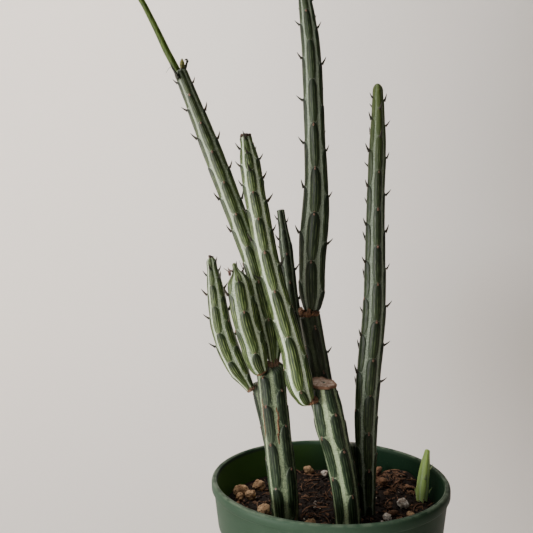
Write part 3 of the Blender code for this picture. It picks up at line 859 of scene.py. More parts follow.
def awl_form():
    """A thin pointed leaf, bent upwards, on every site that has one."""
    sheet, given = form("awl leaves", {"Length": LEAF_LENGTH * MM, "Width": 0.15, "Bend": 0.2})
    line = sheet.add('GeometryNodeCurvePrimitiveLine', {"End": (0, 0, 1)})
    line = sheet.add('GeometryNodeResampleCurve', {"Curve": line, "Count": 7})
    share = sheet.add('GeometryNodeSplineParameter')
    bend = sheet.add('ShaderNodeCombineXYZ', {"X": share * share * given["Bend"]})
    line = sheet.add('GeometryNodeSetPosition', {"Geometry": line, "Offset": bend})
    girth = (1.0 - share) ** 0.75 * given["Width"] * (1.0 + 0.35 * sheet.smooth(share, 0.2, 0.0))
    ring = sheet.add('GeometryNodeCurvePrimitiveCircle', {"Resolution": 6, "Radius": 1.0})
    awl = sheet.add('GeometryNodeCurveToMesh',
                    {"Curve": line, "Profile Curve": ring, "Scale": girth + 0.012,
                     "Fill Caps": True})
    return end_form(sheet, stand(sheet, given, awl), given["Material"])


def stand(sheet, given, shape):
    """Stands a unit shape on every point, along the point's own directions."""
    turn = sheet.add('FunctionNodeAlignRotationToVector',
                     {"Vector": sheet.attribute("aim", 'FLOAT_VECTOR')}, axis='Z')
    turn = sheet.add('FunctionNodeAlignRotationToVector',
                     {"Rotation": turn, "Vector": sheet.attribute("lift", 'FLOAT_VECTOR')},
                     axis='X', pivot_axis='Z')
    size = sheet.attribute("size") * given["Length"]
    return sheet.add('GeometryNodeInstanceOnPoints',
                     {"Points": given["Geometry"], "Instance": shape, "Rotation": turn,
                      "Scale": size})


def scar_form():
    """A small raised scar where a leaf has fallen."""
    sheet, given = form("leaf scars", {"Length": SCAR_WIDTH * MM})
    ball = sheet.add('GeometryNodeMeshUVSphere', {"Segments": 8, "Rings": 5, "Radius": 1.0})
    place = sheet.add('GeometryNodeInputPosition')
    across = sheet.add('ShaderNodeSeparateXYZ', {0: place})
    flat = sheet.add('ShaderNodeCombineXYZ',
                     {"X": across * 0.25, "Z": across.other("Z") * -0.55 - 0.1})
    ball = sheet.add('GeometryNodeSetPosition', {"Geometry": ball, "Offset": flat})
    return end_form(sheet, stand(sheet, given, ball), given["Material"])


def site_cloud(name, sites, aims):
    """Loose points for leaves or scars to stand on, with their directions, sizes and tints."""
    piece = new_piece(name, [site.place for site in sites], [])
    carry(piece.data, "aim", [tuple(aim) for aim in aims], 'FLOAT_VECTOR')
    carry(piece.data, "lift", [tuple(site.up) for site in sites], 'FLOAT_VECTOR')
    carry(piece.data, "size", [site.size for site in sites])
    dice = random.Random(name)
    carry(piece.data, "tint", [dice.random() for _ in sites])
    return piece


def build_leaves(stems):
    """The awl-shaped leaves of every stem, and the scars of those that have dropped."""
    dice = random.Random(5)
    for stem in stems:
        sites = stem.sites(dice)
        kept = [site for site in sites if site.leafed]
        scarred = OLIVE_SCARS_KEPT if stem.look == "olive" else SCARS_KEPT
        lost = [site for site in sites if not site.leafed and dice.random() < scarred]
        if kept:
            aims = []
            for site in kept:
                climb = math.radians(dice.uniform(*LEAF_CLIMB))
                side = site.outward.cross(site.up) * dice.uniform(-LEAF_SWAY, LEAF_SWAY)
                aims.append(site.outward * math.cos(climb) + site.up * math.sin(climb) + side)
            leaves = site_cloud(stem.node + "_leaves", kept, aims)
            skin = LEAF_PALE if stem.look == "young" else LEAF_BROWN
            shape_by(leaves, AWL, Material=skin)
            hand_over(leaves, stem.slot)
        if lost and stem.look != "young":
            scars = site_cloud(stem.node + "_scars", lost, [site.outward for site in lost])
            shape_by(scars, SCAR, Material=SCAR_SKIN)
            hand_over(scars, stem.slot)


def build_stems():
    """Every ribbed stem, by its node's name."""
    # Each stem's bright sets how much painted shade darkens its skin at its foot and at its tip.
    stems = [
        Stem("trunk_left", "old", "stem_green", turn=-31, hand=1, joint_height=112.8, seed=1,
             cushions=[(0, 24), (0.5, 19), (1, 12.5)], rooted=True, top_cut=5.0, tip=0.4,
             slant=(0.25, 0.35), bright=(0.95, 0.7)),
        Stem("trunk_left_back", "old", "stem_dark_green", turn=10, hand=-1, joint_height=110.0,
             seed=2, cushions=[(0, 18), (1, 15)], rooted=True, top_cut=1.5, tip=0.4,
             bright=(0.5, 0.6)),
        Stem("left_outer_branch", "olive", "stem_light_green", turn=-20, hand=1,
             joint_height=170.0, seed=3, cushions=[(0, 16), (0.5, 12.5), (1, 6)],
             leafy=(0.25, 0.9), front_leaves=0.8, extra=3.6, tip=1.3, bright=(0.9, 0.7),
             fit=[(0, 0.2, 1.25), (0.12, 0.4, 1.36), (0.3, -0.1, 1.28), (0.5, -0.7, 1.22),
                  (0.7, -0.4, 1.2), (0.82, -0.4, 1.28), (0.92, -0.5, 1.6), (1, -0.4, 1.6)]),
        Stem("left_middle_branch", "olive", "stem_light_green", turn=5, hand=1, joint_height=168.5,
             seed=4, cushions=[(0, 24), (0.5, 17), (1, 7)], leafy=(0.72, 0.9), front_leaves=0.8,
             bright=(0.95, 0.8), young=7.0, tip=1.2,
             fit=[(0, -0.5, 1.2), (0.08, -1.7, 1.42), (0.15, -2.0, 1.30), (0.26, -1.9, 1.13),
                  (0.48, -2.3, 1.10), (0.66, -2.0, 1.17), (0.77, -1.8, 1.62), (0.86, -1.5, 1.95),
                  (0.89, -1.5, 1.4), (0.92, -1.7, 0.7), (1, -2.1, 0.85)]),
        Stem("long_leaning_branch", "olive", "stem_green", turn=0, hand=1, joint_height=238.4,
             seed=5, cushions=[(0, 22), (0.3, 16), (0.9, 13.5), (1, 11)], leafy=(0.42, 0.95),
             front_leaves=0.95, tip=0.7, extra=0.8, bright=(1.0, 0.38),
             fit=[(0, 0, 1), (0.05, -0.2, 1.2), (0.15, -0.4, 1.33), (0.25, -0.2, 1.15),
                  (0.35, 0, 1.05), (0.5, -0.2, 1.08), (1, -0.1, 1.12)]),
        Stem("trunk_centre", "old", "stem_green", turn=25, hand=-1, joint_height=109.1, seed=6,
             cushions=[(0, 24), (0.5, 19), (1, 13)], rooted=True, top_cut=3.0, tip=0.2,
             slant=(-0.2, 0.22)),
        Stem("inner_leaning_branch", "olive", "stem_light_green", turn=-7, hand=-1,
             joint_height=194.3, seed=7, cushions=[(0, 25), (0.4, 20), (0.7, 12.5), (1, 5.5)],
             leafy=(0.45, 0.9), front_leaves=0.85, tip=0.3, extra=1.8, bright=(1.0, 0.7),
             fit=[(0, -1.6, 1.45), (0.02, -1.8, 1.65), (0.05, -1.7, 1.55), (0.08, -1.3, 1.35),
                  (0.13, -0.6, 1.13), (0.2, 0, 1), (0.7, -0.4, 1.0), (0.78, -0.9, 1.03),
                  (0.87, -0.9, 1.2), (0.93, -1.0, 1.36), (1, -1.1, 1.3)]),
        Stem("dark_trunk", "dark", "stem_dark_green", turn=18, hand=1, joint_height=140.0, seed=8,
             cushions=[(0, 24), (1, 20)], rooted=True, top_cut=2.0, tip=0.2, leafy=(0.6, 0.4)),
        Stem("tall_branch", "silver", "stem_green", turn=-10, hand=1, joint_height=232.6, seed=9,
             cushions=[(0, 24), (0.3, 21), (0.7, 19), (1, 9)], leafy=(0.1, 0.9), front_leaves=0.9,
             bright=(0.72, 0.68),
             fit=[(0, 0.2, 1.22), (0.03, 0.4, 1.2), (0.07, 0.4, 1.13), (0.12, 0.3, 1.05),
                  (0.18, 0.3, 1), (0.38, 0.9, 1.03), (0.5, 0.7, 1.02), (0.8, 0.7, 1), (1, 0.3, 1)]),
        Stem("short_inner_stem", "silver", "stem_green", turn=0, hand=1, joint_height=194.2,
             seed=10, cushions=[(0, 20), (0.8, 14), (1, 8)], rooted=True, leafy=(0.6, 0.8),
             tip=0.3, bright=(0.6, 0.9),
             fit=[(0, 0, 1), (0.8, -0.2, 1.1), (1, -0.4, 1.2)]),
        Stem("right_stem", "silver", "stem_green", turn=7, hand=1, joint_height=230.6, seed=11,
             cushions=[(0, 16.8), (0.78, 16.8), (0.9, 14), (1, 5)], rooted=True,
             leafy=(0.28, 0.95), young=58.0, front_leaves=0.85, bright=(1.0, 0.65), tip=1.5,
             fit=[(0, -0.9, 1), (0.23, -0.8, 1.02), (0.34, -0.6, 1.03), (0.5, -0.3, 1),
                  (0.8, -0.3, 0.96), (0.9, -0.3, 1.08), (0.96, -0.2, 1.3), (1, -0.2, 1.55)]),
        Stem("short_stub", "dark", "stem_dark_green", turn=30, hand=1, joint_height=95.0, seed=12,
             cushions=[(0, 18), (1, 15)], rooted=True, tip=0.4),
        Stem("sprout", "young", "young_green", turn=0, hand=1, joint_height=88.0, seed=13,
             cushions=[(0, 13), (1, 10)], rooted=True, cushion_height=0.04, young=30.0,
             leafy=(0.1, 0.4), front_leaves=0.0,
             fit=[(0, 0.4, 1.08), (1, 0.8, 1.12)]),
    ]
    return {stem.node: stem for stem in stems}


# ---------------------------------------------------------------- cork and scars

def callus(name, centre, up, radius, thick, seed, material, slot, facing):
    """A broken, ragged ring of cork round a joint, thickest at its facing side."""
    turn_up = Vector(up).to_track_quat('Z', 'Y').to_matrix()
    points, faces = [], []
    count, sides = 84, 12
    for i in range(count):
        out = spoke(2 * math.pi * i / count)
        towards = (turn_up @ out).dot(direction(facing))
        lump = noise.noise(out * 2.2 + Vector((seed, 0, 0)))
        fine = noise.noise(out * 7.0 + Vector((0, seed, 0)))
        share = 1 - CALLUS_FADE + CALLUS_FADE * (0.5 + 0.5 * towards) ** 1.5
        girth = max(thick * share * (1 + 0.7 * lump + 0.6 * fine), CALLUS_LEAST)
        for j in range(sides):
            turn = 2 * math.pi * j / sides
            local = out * (radius + girth * 0.8 * math.cos(turn) + 0.5 * thick * fine)
            local.z = girth * CALLUS_TALL * math.sin(turn) + thick * (1.1 * lump + 0.5 * fine)
            rough = noise.noise(local * 2.6 + Vector((seed, seed, 0)))
            rough += 0.6 * noise.noise(local * 5.2 + Vector((seed, 0, seed)))
            local += out * rough * thick * 0.4
            local.z += rough * thick * 0.3
            points.append(Vector(centre) + turn_up @ (local * MM))
            a, b = i * sides + j, i * sides + (j + 1) % sides
            c, d = ((i + 1) % count) * sides + (j + 1) % sides, ((i + 1) % count) * sides + j
            faces.append((a, d, c, b))
    return hand_over(new_piece(name, points, faces, material), slot)


def thread(name, path, girth, material, slot):
    """A thin drying leaf or stalk along a path given in millimetres, pointed at its end."""
    knots = np.array(path, float)
    steps = np.linspace(0, len(knots) - 1, 9 * len(knots))
    line = np.column_stack([np.interp(steps, range(len(knots)), knots[:, i]) for i in range(3)])
    line = eased(line, 12)
    points, sides = [], 6
    for number, spot in enumerate(line):
        ahead = line[min(number + 1, len(line) - 1)] - line[max(number - 1, 0)]
        turn = Vector(ahead).to_track_quat('Z', 'Y')
        share = number / (len(line) - 1)
        size = girth * (1 - share) ** 0.6 * (1 + 0.2 * noise.noise(Vector(spot) * 1.5)) + 0.05
        for side in range(sides):
            angle = 2 * math.pi * side / sides
            out = turn @ Vector((math.cos(angle), 0.6 * math.sin(angle), 0))
            points.append((Vector(spot) + out * size) * MM)
    return hand_over(new_piece(name, points, tube_faces(len(line), sides), material), slot)


def cut_face(name, stem, radius_share, material, slot, seed):
    """The dried end of a cut stem: a shallow dish inside a rough rim, over a short skirt."""
    spine = stem.spine
    centre, radius, right, front, up = (part[0] for part in spine.at(spine.length))
    rim = float(radius) * radius_share
    rings, sides = 14, 64
    points, faces, rings_at = [], [], []
    for ring in range(rings + 1):
        share = ring / rings
        for side in range(sides):
            angle = 2 * math.pi * side / sides
            out = Vector(right) * math.cos(angle) + Vector(front) * math.sin(angle)
            wave = 1 + 0.22 * noise.noise(out * 1.6 + Vector((seed, 0, 0)))
            wave += 0.10 * noise.noise(out * 5.0 + Vector((0, seed, 0)))
            local = out * rim * share * wave
            lift = 0.45 * math.exp(-((share - 0.9) / 0.09) ** 2) - 0.35 * (share > 0.97)
            lift += 0.9 * noise.noise(local / MM * 0.30 + Vector((0, 0, seed)))
            lift += 0.30 * noise.noise(local / MM * 1.1 + Vector((0, 0, seed)))
            rise = local.x * stem.slant[0] + local.y * stem.slant[1]
            point = Vector(centre) + local + Vector(up) * (lift + 0.25) * MM
            points.append(point + Vector((0, 0, rise)))
            rings_at.append(share)
            if ring < rings:
                a, b = ring * sides + side, ring * sides + (side + 1) % sides
                faces.append((a, a + sides, b + sides, b))
    skirt = len(points)
    for side in range(sides):
        edge = points[rings * sides + side]
        points.append(edge + (Vector(centre) - edge) * 0.10 - Vector(up) * 0.8 * MM)
        rings_at.append(1.0)
        a, b = rings * sides + side, rings * sides + (side + 1) % sides
        faces.append((a, skirt + side, skirt + (side + 1) % sides, b))
    points.append(Vector(centre) - Vector(up) * 1.2 * MM)
    rings_at.append(1.0)
    for side in range(sides):
        faces.append((skirt + (side + 1) % sides, skirt + side, len(points) - 1))
    piece = new_piece(name, points, faces, material)
    carry(piece.data, "rim", rings_at)
    face_out(piece.data)
    return hand_over(piece, slot)


def cut_skin():
    """Tan pink pith inside a brown rim."""
    skin = Finish("cut_end", 0.8)
    rim = skin.mark("rim")
    flakes = skin.noise(skin.place, 700.0, 4.0, 0.6)
    colour = skin.mix(skin.smooth(flakes, 0.35, 0.65), (0.250, 0.165, 0.120), (0.480, 0.365, 0.290))
    edge = skin.smooth(rim + (flakes - 0.5) * 0.25, 0.72, 0.88)
    colour = skin.mix(edge, colour, (0.170, 0.088, 0.050))
    return skin.paint(colour, 0.8, flakes, 0.0004)


def cork_line(name, stem, path, width, seed, material):
    """A raised corky crack that runs along a stem; path is (height, place round the stem)."""
    heights = np.arange(path[0][0], path[-1][0], 0.5)
    around = np.interp(heights, [p[0] for p in path], [p[1] for p in path])
    points, sides = [], 6
    for step, (height, place) in enumerate(zip(heights, around)):
        distance = stem.spine.distance_at(height * MM)
        wander = 0.05 * noise.noise(Vector((height * 0.35, seed, 0)))
        spot = stem.surface((place + wander) % RIBS, distance)
        outward, up = stem.frame_at(place, distance)
        side = up.cross(outward)
        ends = math.sin(math.pi * (step + 0.5) / len(heights)) ** 0.35
        girth = width * ends * (0.8 + 0.5 * noise.noise(Vector((height * 0.9, 0, seed))))
        for i in range(sides):
            turn = 2 * math.pi * i / sides
            out = side * math.cos(turn) + outward * 0.6 * math.sin(turn)
            points.append(spot + out * girth * MM)
    piece = new_piece(name, points, tube_faces(len(heights), sides), material)
    face_out(piece.data, merge=False)
    return hand_over(piece, stem.slot)


def build_cork(stems):
    """Cork round the joints, on the cut ends and along the left stem's cracks."""
    orange = cork_skin("cork_orange", (0.330, 0.165, 0.075), (0.100, 0.046, 0.024))
    tan = cork_skin("cork_tan", (0.340, 0.205, 0.125), (0.130, 0.072, 0.044))
    dark = cork_skin("cork_dark", (0.085, 0.045, 0.028), (0.030, 0.017, 0.012))
    joints = [
        # branch, place along it, radius as a share of its own, thickness, cork, the side that
        # is thickest, and shift to the right
        ("left_outer_branch", 0.9, 0.9, 0.55, tan, 20, 0.0),
        ("left_middle_branch", 1.2, 0.7, 0.5, orange, 10, 0.0),
        ("long_leaning_branch", 0.2, 0.95, 1.35, tan, 0, 0.0),
        ("inner_leaning_branch", 1.3, 0.58, 0.85, orange, 60, 1.7),
        ("tall_branch", 0.1, 1.05, 1.35, orange, -40, -0.8),
    ]
    for number, (node, along, share, thick, material, facing, shift) in enumerate(joints):
        stem = stems[node]
        centre, radius, _, _, up = (part[0] for part in stem.spine.at(along * MM))
        centre = Vector(centre) + Vector((shift * MM, 0, 0))
        callus(node + "_callus", centre, up, float(radius) / MM * share, thick, number + 3.0,
               material, stem.slot, facing)
    cut_face("trunk_centre_cut", stems["trunk_centre"], 1.0, cut_skin(), "stem_green", 2.0)
    for node, share, seed in (("inner_leaning_branch", 0.9, 8.0), ("left_outer_branch", 0.5, 9.0)):
        cut_face(node + "_tip", stems[node], share, dark, "stem_light_green", seed)
    trunk = stems["trunk_left"]
    cork_line("cork_line_left", trunk, [(114, 4.50), (121, 4.62), (128, 4.70), (132.5, 4.60)],
              0.6, 1.0, orange)
    cork_line("cork_line_right", trunk, [(112, 0.50), (117, 0.54), (122, 0.62), (128, 0.60)],
              0.55, 7.0, orange)


def build_dried_leaves():
    """The odd leaves and stalks that have dried at the branches' tips."""
    tuft = cork_skin("tuft_pink", (0.260, 0.135, 0.110), (0.100, 0.048, 0.040))
    dried = [
        ("curled_leaf", 0.85, LEAF_BROWN, "stem_green",
         [(-65.8, -12, 273.5), (-65.3, -12.3, 277.2), (-64.5, -12.5, 279.2),
          (-64.7, -12.8, 280.2), (-65.5, -13, 279.9), (-65.5, -13, 279.3)]),
        ("bract_left", 1.35, LEAF_BROWN, "stem_green",
         [(-68.2, -14.4, 271.0), (-70.0, -14.8, 274.2), (-72.1, -14.2, 278.0)]),
        ("bract_hair", 0.14, LEAF_BROWN, "stem_green",
         [(-71.3, -14, 276.6), (-72.6, -14, 275.6), (-73.9, -14, 273.6)]),
        ("tuft_stalk", 0.35, tuft, "stem_light_green",
         [(-44.0, -24, 177.0), (-44.3, -24, 181.0), (-44.9, -24, 184.6)]),
        ("tuft_0", 0.55, tuft, "stem_light_green",
         [(-44.8, -24, 183.6), (-45.4, -24.4, 185.4), (-47.6, -24, 186.9)]),
        ("tuft_1", 0.55, tuft, "stem_light_green",
         [(-44.8, -24, 183.6), (-45.0, -24.4, 185.4), (-45.6, -25, 187.3)]),
        ("tuft_2", 0.55, tuft, "stem_light_green",
         [(-44.8, -24, 183.6), (-44.6, -24.4, 185.4), (-43.2, -24, 186.4)]),
        ("hook_leaf_long", 0.38, LEAF_BROWN, "stem_light_green",
         [(-38.0, -24, 181.5), (-39.2, -24, 186.5), (-40.9, -24, 190.2)]),
        ("hook_leaf_short", 0.3, LEAF_BROWN, "stem_light_green",
         [(-37.2, -24, 181.0), (-38.0, -24, 186.6), (-39.8, -24, 189.4)]),
    ]
    for name, girth, material, slot, path in dried:
        thread(name, path, girth, material, slot)


# ---------------------------------------------------------------- pot and soil

POT_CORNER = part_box("pot")[1]
POT_HIGH = POT_CORNER.z
POT_RADIUS = POT_CORNER.x


def pot_profile():
    """The pot's outline, from the middle of the underside round to the middle of the floor."""
    top, wide = POT_HIGH / MM, POT_RADIUS / MM
    slope = (wide - LIP_PROUD - POT_BASE) / (top - LIP_HEIGHT)
    step = top - COLLAR_HEIGHT
    outline = [(0, 0.6), (POT_BASE - 6.0, 0.6), (POT_BASE - 5.4, 0.0), (POT_BASE - 1.0, 0.0),
               (POT_BASE - 0.25, 0.3), (POT_BASE, 1.1)]
    for height in np.linspace(6, step - 1.6, 18):
        outline.append((POT_BASE + slope * height, height))
    outline += [(POT_BASE + slope * step + 0.15, step - 0.8),
                (POT_BASE + slope * step + 0.9, step - 0.2)]
    bead = top - BEAD_HEIGHT
    for share in np.linspace(0, 1, 9):
        height = step + 0.6 + share * (bead - step - 0.6)
        proud = COLLAR_PROUD - COLLAR_TAPER * share
        outline.append((POT_BASE + slope * height + proud, height))
    outline += [(wide - 0.3, bead + 0.05), (wide + 0.3, bead + 0.3), (wide + 0.6, bead + 0.8),
                (wide + 0.65, top - 1.5), (wide + 0.5, top - 0.8), (wide + 0.15, top - 0.3),
                (wide - 0.2, top - 0.05), (wide - 0.6, top), (wide - 0.85, top - 0.22),
                (wide - 1.05, top - 0.22), (wide - 1.3, top - 0.04), (wide - 1.6, top - 0.12),
                (wide - 1.85, top - 0.5), (wide - 1.95, top - 1.2)]
    for height in np.linspace(top - 5.0, FLOOR + 1.2, 24):
        outline.append((POT_BASE + slope * height - WALL, height))
    outline += [(POT_BASE - WALL - 0.6, FLOOR + 0.2), (POT_BASE - WALL - 1.4, FLOOR), (0, FLOOR)]
    return outline


def build_pot():
    """The pot's outline turned round its axis, with drain holes cut through its floor."""
    edit = bmesh.new()
    verts = [edit.verts.new((r * MM, 0, z * MM)) for r, z in pot_profile()]
    edges = [edit.edges.new(pair) for pair in zip(verts, verts[1:])]
    bmesh.ops.spin(edit, geom=verts + edges, cent=(0, 0, 0), axis=(0, 0, 1),
                   angle=2 * math.pi, steps=POT_SEGMENTS, use_duplicate=False)
    pot = new_piece("pot_shell", [], [], pot_skin())
    edit.to_mesh(pot.data)
    edit.free()
    face_out(pot.data)
    cutters = []
    for hole in range(DRAIN_HOLES):
        spot = direction(DRAIN_TURN + 360 * hole / DRAIN_HOLES) * DRAIN_CIRCLE * MM
        edit = bmesh.new()
        bmesh.ops.create_cone(edit, cap_ends=True, segments=40, radius1=DRAIN_RADIUS * MM,
                              radius2=DRAIN_RADIUS * MM, depth=8 * MM,
                              matrix=Matrix.Translation(spot))
        cutter = new_piece("drain", [], [])
        edit.to_mesh(cutter.data)
        edit.free()
        cut = pot.modifiers.new("drain", 'BOOLEAN')
        cut.object = cutter
        cutters.append(cutter)
    bpy.context.view_layer.update()
    settle(pot)
    for cutter in cutters:
        bpy.data.objects.remove(cutter, do_unlink=True)
    hand_over(pot, "pot_green", "pot")
    pot.data.set_sharp_from_angle(angle=math.radians(45))


def soil_facts():
    """The soil's level, its mound's top and its rim radius, read off the solid."""
    points = corners("soil").reshape(-1, 3)
    peak = points[points[:, 2].argmax()]
    front = points[np.hypot(points[:, 0], points[:, 1]) > 0.045]
    level = front[front[:, 1] < -0.03][:, 2].max()
    return level, peak, float(np.hypot(points[:, 0], points[:, 1]).max())


SOIL_LEVEL, SOIL_PEAK, SOIL_RADIUS = soil_facts()


def soil_height(x, y):
    """The smooth soil's height: level, with a mound against the wall."""
    away = math.hypot(x - SOIL_PEAK[0], y - SOIL_PEAK[1]) / (MOUND_SPREAD * MM)
    return SOIL_LEVEL + (SOIL_PEAK[2] - SOIL_LEVEL) * math.exp(-away * away)


def build_soil():
    """The crumbly soil body inside the pot, and what lies on it."""
    rings, sides = 64, 168
    points, faces = [], []
    for ring in range(1, rings + 1):
        for side in range(sides):
            angle = 2 * math.pi * side / sides
            reach = SOIL_RADIUS * ring / rings
            x, y = reach * math.cos(angle), reach * math.sin(angle)
            spot = Vector((x, y, 0)) / MM
            rough = noise.fractal(spot * 0.16, 1.0, 2.0, 5) * SOIL_ROUGHNESS
            rough += 0.7 * abs(noise.noise(spot * 0.42 + Vector((3, 1, 0))))
            edge = min(1.0, (rings - ring) / 3)
            points.append((x, y, soil_height(x, y) + rough * edge * MM - SOIL_SINK * MM))
            if ring < rings:
                a = (ring - 1) * sides + side
                b = (ring - 1) * sides + (side + 1) % sides
                faces.append((a, a + sides, b + sides, b))
    centre = len(points)
    points.append((0, 0, soil_height(0, 0)))
    for side in range(sides):
        faces.append((centre, side, (side + 1) % sides))
    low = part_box("soil")[0].z
    foot = len(points)
    shrink = (POT_BASE - WALL + 0.2) * MM / SOIL_RADIUS
    outer = (rings - 1) * sides
    for side in range(sides):
        x, y, _ = points[outer + side]
        points.append((x * shrink, y * shrink, low))
        a, b = outer + side, outer + (side + 1) % sides
        faces.append((a, foot + side, foot + (side + 1) % sides, b))
    faces.append(tuple(foot + side for side in range(sides))[::-1])
    soil = new_piece("soil_bed", points, faces, SOIL_SKIN)
    carry(soil.data, "tint", [0.25] * len(points))
    ground = new_piece("ground", points[:centre], faces[:(rings - PLAIN_EDGE) * sides])
    hand_over(soil, "soil_brown", "soil")
    build_loose_bits(ground)


def build_loose_bits(ground):
    """Crumbs, chips, fibres and perlite over the soil, and more bark on its mound."""
    scatter_on(ground, "soil_crumbs", CRUMBS, SOIL_SKIN, "soil_brown", Density=290000.0,
               Smallest=0.0004, Largest=0.00125, Seed=3)
    scatter_on(ground, "bark_chips", CRUMBS, BARK_SKIN, "bark_brown", Density=52000.0,
               Smallest=0.0006, Largest=0.0015, Seed=8, Flatness=0.5)
    scatter_on(ground, "bark_fibres", FIBRES, BARK_SKIN, "bark_brown", Density=30000.0,
               Smallest=0.0022, Largest=0.0055, Seed=12)
    scatter_on(ground, "perlite_bits", CRUMBS, PERLITE_SKIN, "perlite_white", Density=7000.0,
               Smallest=0.0004, Largest=0.0009, Seed=21)
    peak = Vector(SOIL_PEAK).to_2d()
    heap = [tuple(face.vertices) for face in ground.data.polygons
            if (face.center.to_2d() - peak).length < MOUND_REACH * MM]
    mound = new_piece("mound", [point.co for point in ground.data.vertices], heap)
    scatter_on(mound, "mound_bark", CRUMBS, BARK_SKIN, "bark_brown", Density=95000.0,
               Smallest=0.0008, Largest=0.0026, Seed=31, Flatness=0.45)
    scatter_on(mound, "mound_fibres", FIBRES, BARK_SKIN, "bark_brown", Density=80000.0,
               Smallest=0.0025, Largest=0.0060, Seed=37)
    bpy.data.objects.remove(mound, do_unlink=True)
    bpy.data.objects.remove(ground, do_unlink=True)


def scatter_on(ground, name, tree, material, slot, **sizes):
    """A layer of loose bits over the ground, as one piece."""
    piece = ground.copy()
    piece.data = ground.data.copy()
    piece.name = name
    bpy.context.scene.collection.objects.link(piece)
    shape_by(piece, tree, Material=material, **sizes)
    hand_over(piece, slot)


def strew(sheet, given, shape):
    """Lays shapes on the ground at random, each with its own size, turn and tint."""
    spread = sheet.add('GeometryNodeDistributePointsOnFaces',
                       {"Mesh": given["Geometry"], "Density": given["Density"],
                        "Seed": given["Seed"]}, output="Points")
    turn = sheet.add('FunctionNodeRandomValue',
                     {0: (-0.5, -0.5, 0.0), 1: (0.5, 0.5, 6.283), "Seed": given["Seed"] + 1.0},
                     data_type='FLOAT_VECTOR')
    turn = sheet.add('FunctionNodeEulerToRotation', {0: turn})
    size = sheet.add('FunctionNodeRandomValue',
                     {2: 0.0, 3: 1.0, "Seed": given["Seed"] + 2.0}, output=1)
    size = given["Smallest"] + (given["Largest"] - given["Smallest"]) * size ** 2.2
    laid = sheet.add('GeometryNodeInstanceOnPoints',
                     {"Points": spread, "Instance": shape, "Pick Instance": True,
                      "Rotation": turn, "Scale": size})
    tint = sheet.add('FunctionNodeRandomValue', {2: 0.0, 3: 1.0, "Seed": given["Seed"] + 3.0},
                     output=1)
    return sheet.add('GeometryNodeStoreNamedAttribute',
                     {"Geometry": laid, "Name": "tint", "Value": tint}, domain='INSTANCE')


def mixed(sheet, shapes):
    """Several shapes as a choice that scattered points pick from."""
    kinds = sheet.tree.nodes.new('GeometryNodeJoinGeometry')
    for shape in shapes:
        kind = sheet.add('GeometryNodeGeometryToInstance', {0: shape})
        sheet.tree.links.new(kind.socket, kinds.inputs[0])
    return Value(sheet, kinds.outputs[0])


def crumb_form():
    """Uneven crumbs of four shapes."""
    sizes = {"Density": 1e5, "Smallest": 0.0005, "Largest": 0.001, "Flatness": 0.8, "Seed": 1}
    sheet, given = form("crumbs", sizes)
    crumbs = []
    for shift in range(4):
        ball = sheet.add('GeometryNodeMeshIcoSphere', {"Radius": 1.0, "Subdivisions": 2})
        place = sheet.add('GeometryNodeInputPosition')
        moved = sheet.add('ShaderNodeVectorMath', {0: place, 1: (shift * 7.0, 3.0, 1.0)},
                          operation='ADD')
        bumps = sheet.add('ShaderNodeTexNoise', {"Vector": moved, "Scale": 0.9, "Detail": 2.0},
                          output="Color")
        shake = sheet.add('ShaderNodeVectorMath', {0: bumps, 1: (0.5, 0.5, 0.5)},
                          operation='SUBTRACT')
        ball = sheet.add('GeometryNodeSetPosition',
                         {"Geometry": ball, "Offset": sheet.scaled(shake, 2.6)})
        flat = sheet.add('ShaderNodeCombineXYZ', {"X": 1.0, "Y": 0.8, "Z": given["Flatness"]})
        crumbs.append(sheet.add('GeometryNodeTransform', {"Geometry": ball, "Scale": flat}))
    return end_form(sheet, strew(sheet, given, mixed(sheet, crumbs)), given["Material"])


def fibre_form():
    """Thin bent fibres of three curves."""
    sizes = {"Density": 1e4, "Smallest": 0.002, "Largest": 0.005, "Seed": 1}
    sheet, given = form("fibres", sizes)
    fibres = []
    for bend in (0.12, -0.25, 0.4):
        line = sheet.add('GeometryNodeCurvePrimitiveLine',
                         {"Start": (-1, 0, 0), "End": (1, 0, 0.2)})
        line = sheet.add('GeometryNodeResampleCurve', {"Curve": line, "Count": 7})
        share = sheet.add('GeometryNodeSplineParameter')
        arch = share * (1.0 - share)
        offset = sheet.add('ShaderNodeCombineXYZ', {"Y": arch * (4 * bend), "Z": arch * 0.5})
        line = sheet.add('GeometryNodeSetPosition', {"Geometry": line, "Offset": offset})
        girth = arch ** 0.3 * 0.085
        ring = sheet.add('GeometryNodeCurvePrimitiveCircle', {"Resolution": 5, "Radius": 1.0})
        fibres.append(sheet.add('GeometryNodeCurveToMesh',
                                {"Curve": line, "Profile Curve": ring, "Scale": girth + 0.01,
                                 "Fill Caps": True}))
    return end_form(sheet, strew(sheet, given, mixed(sheet, fibres)), given["Material"])


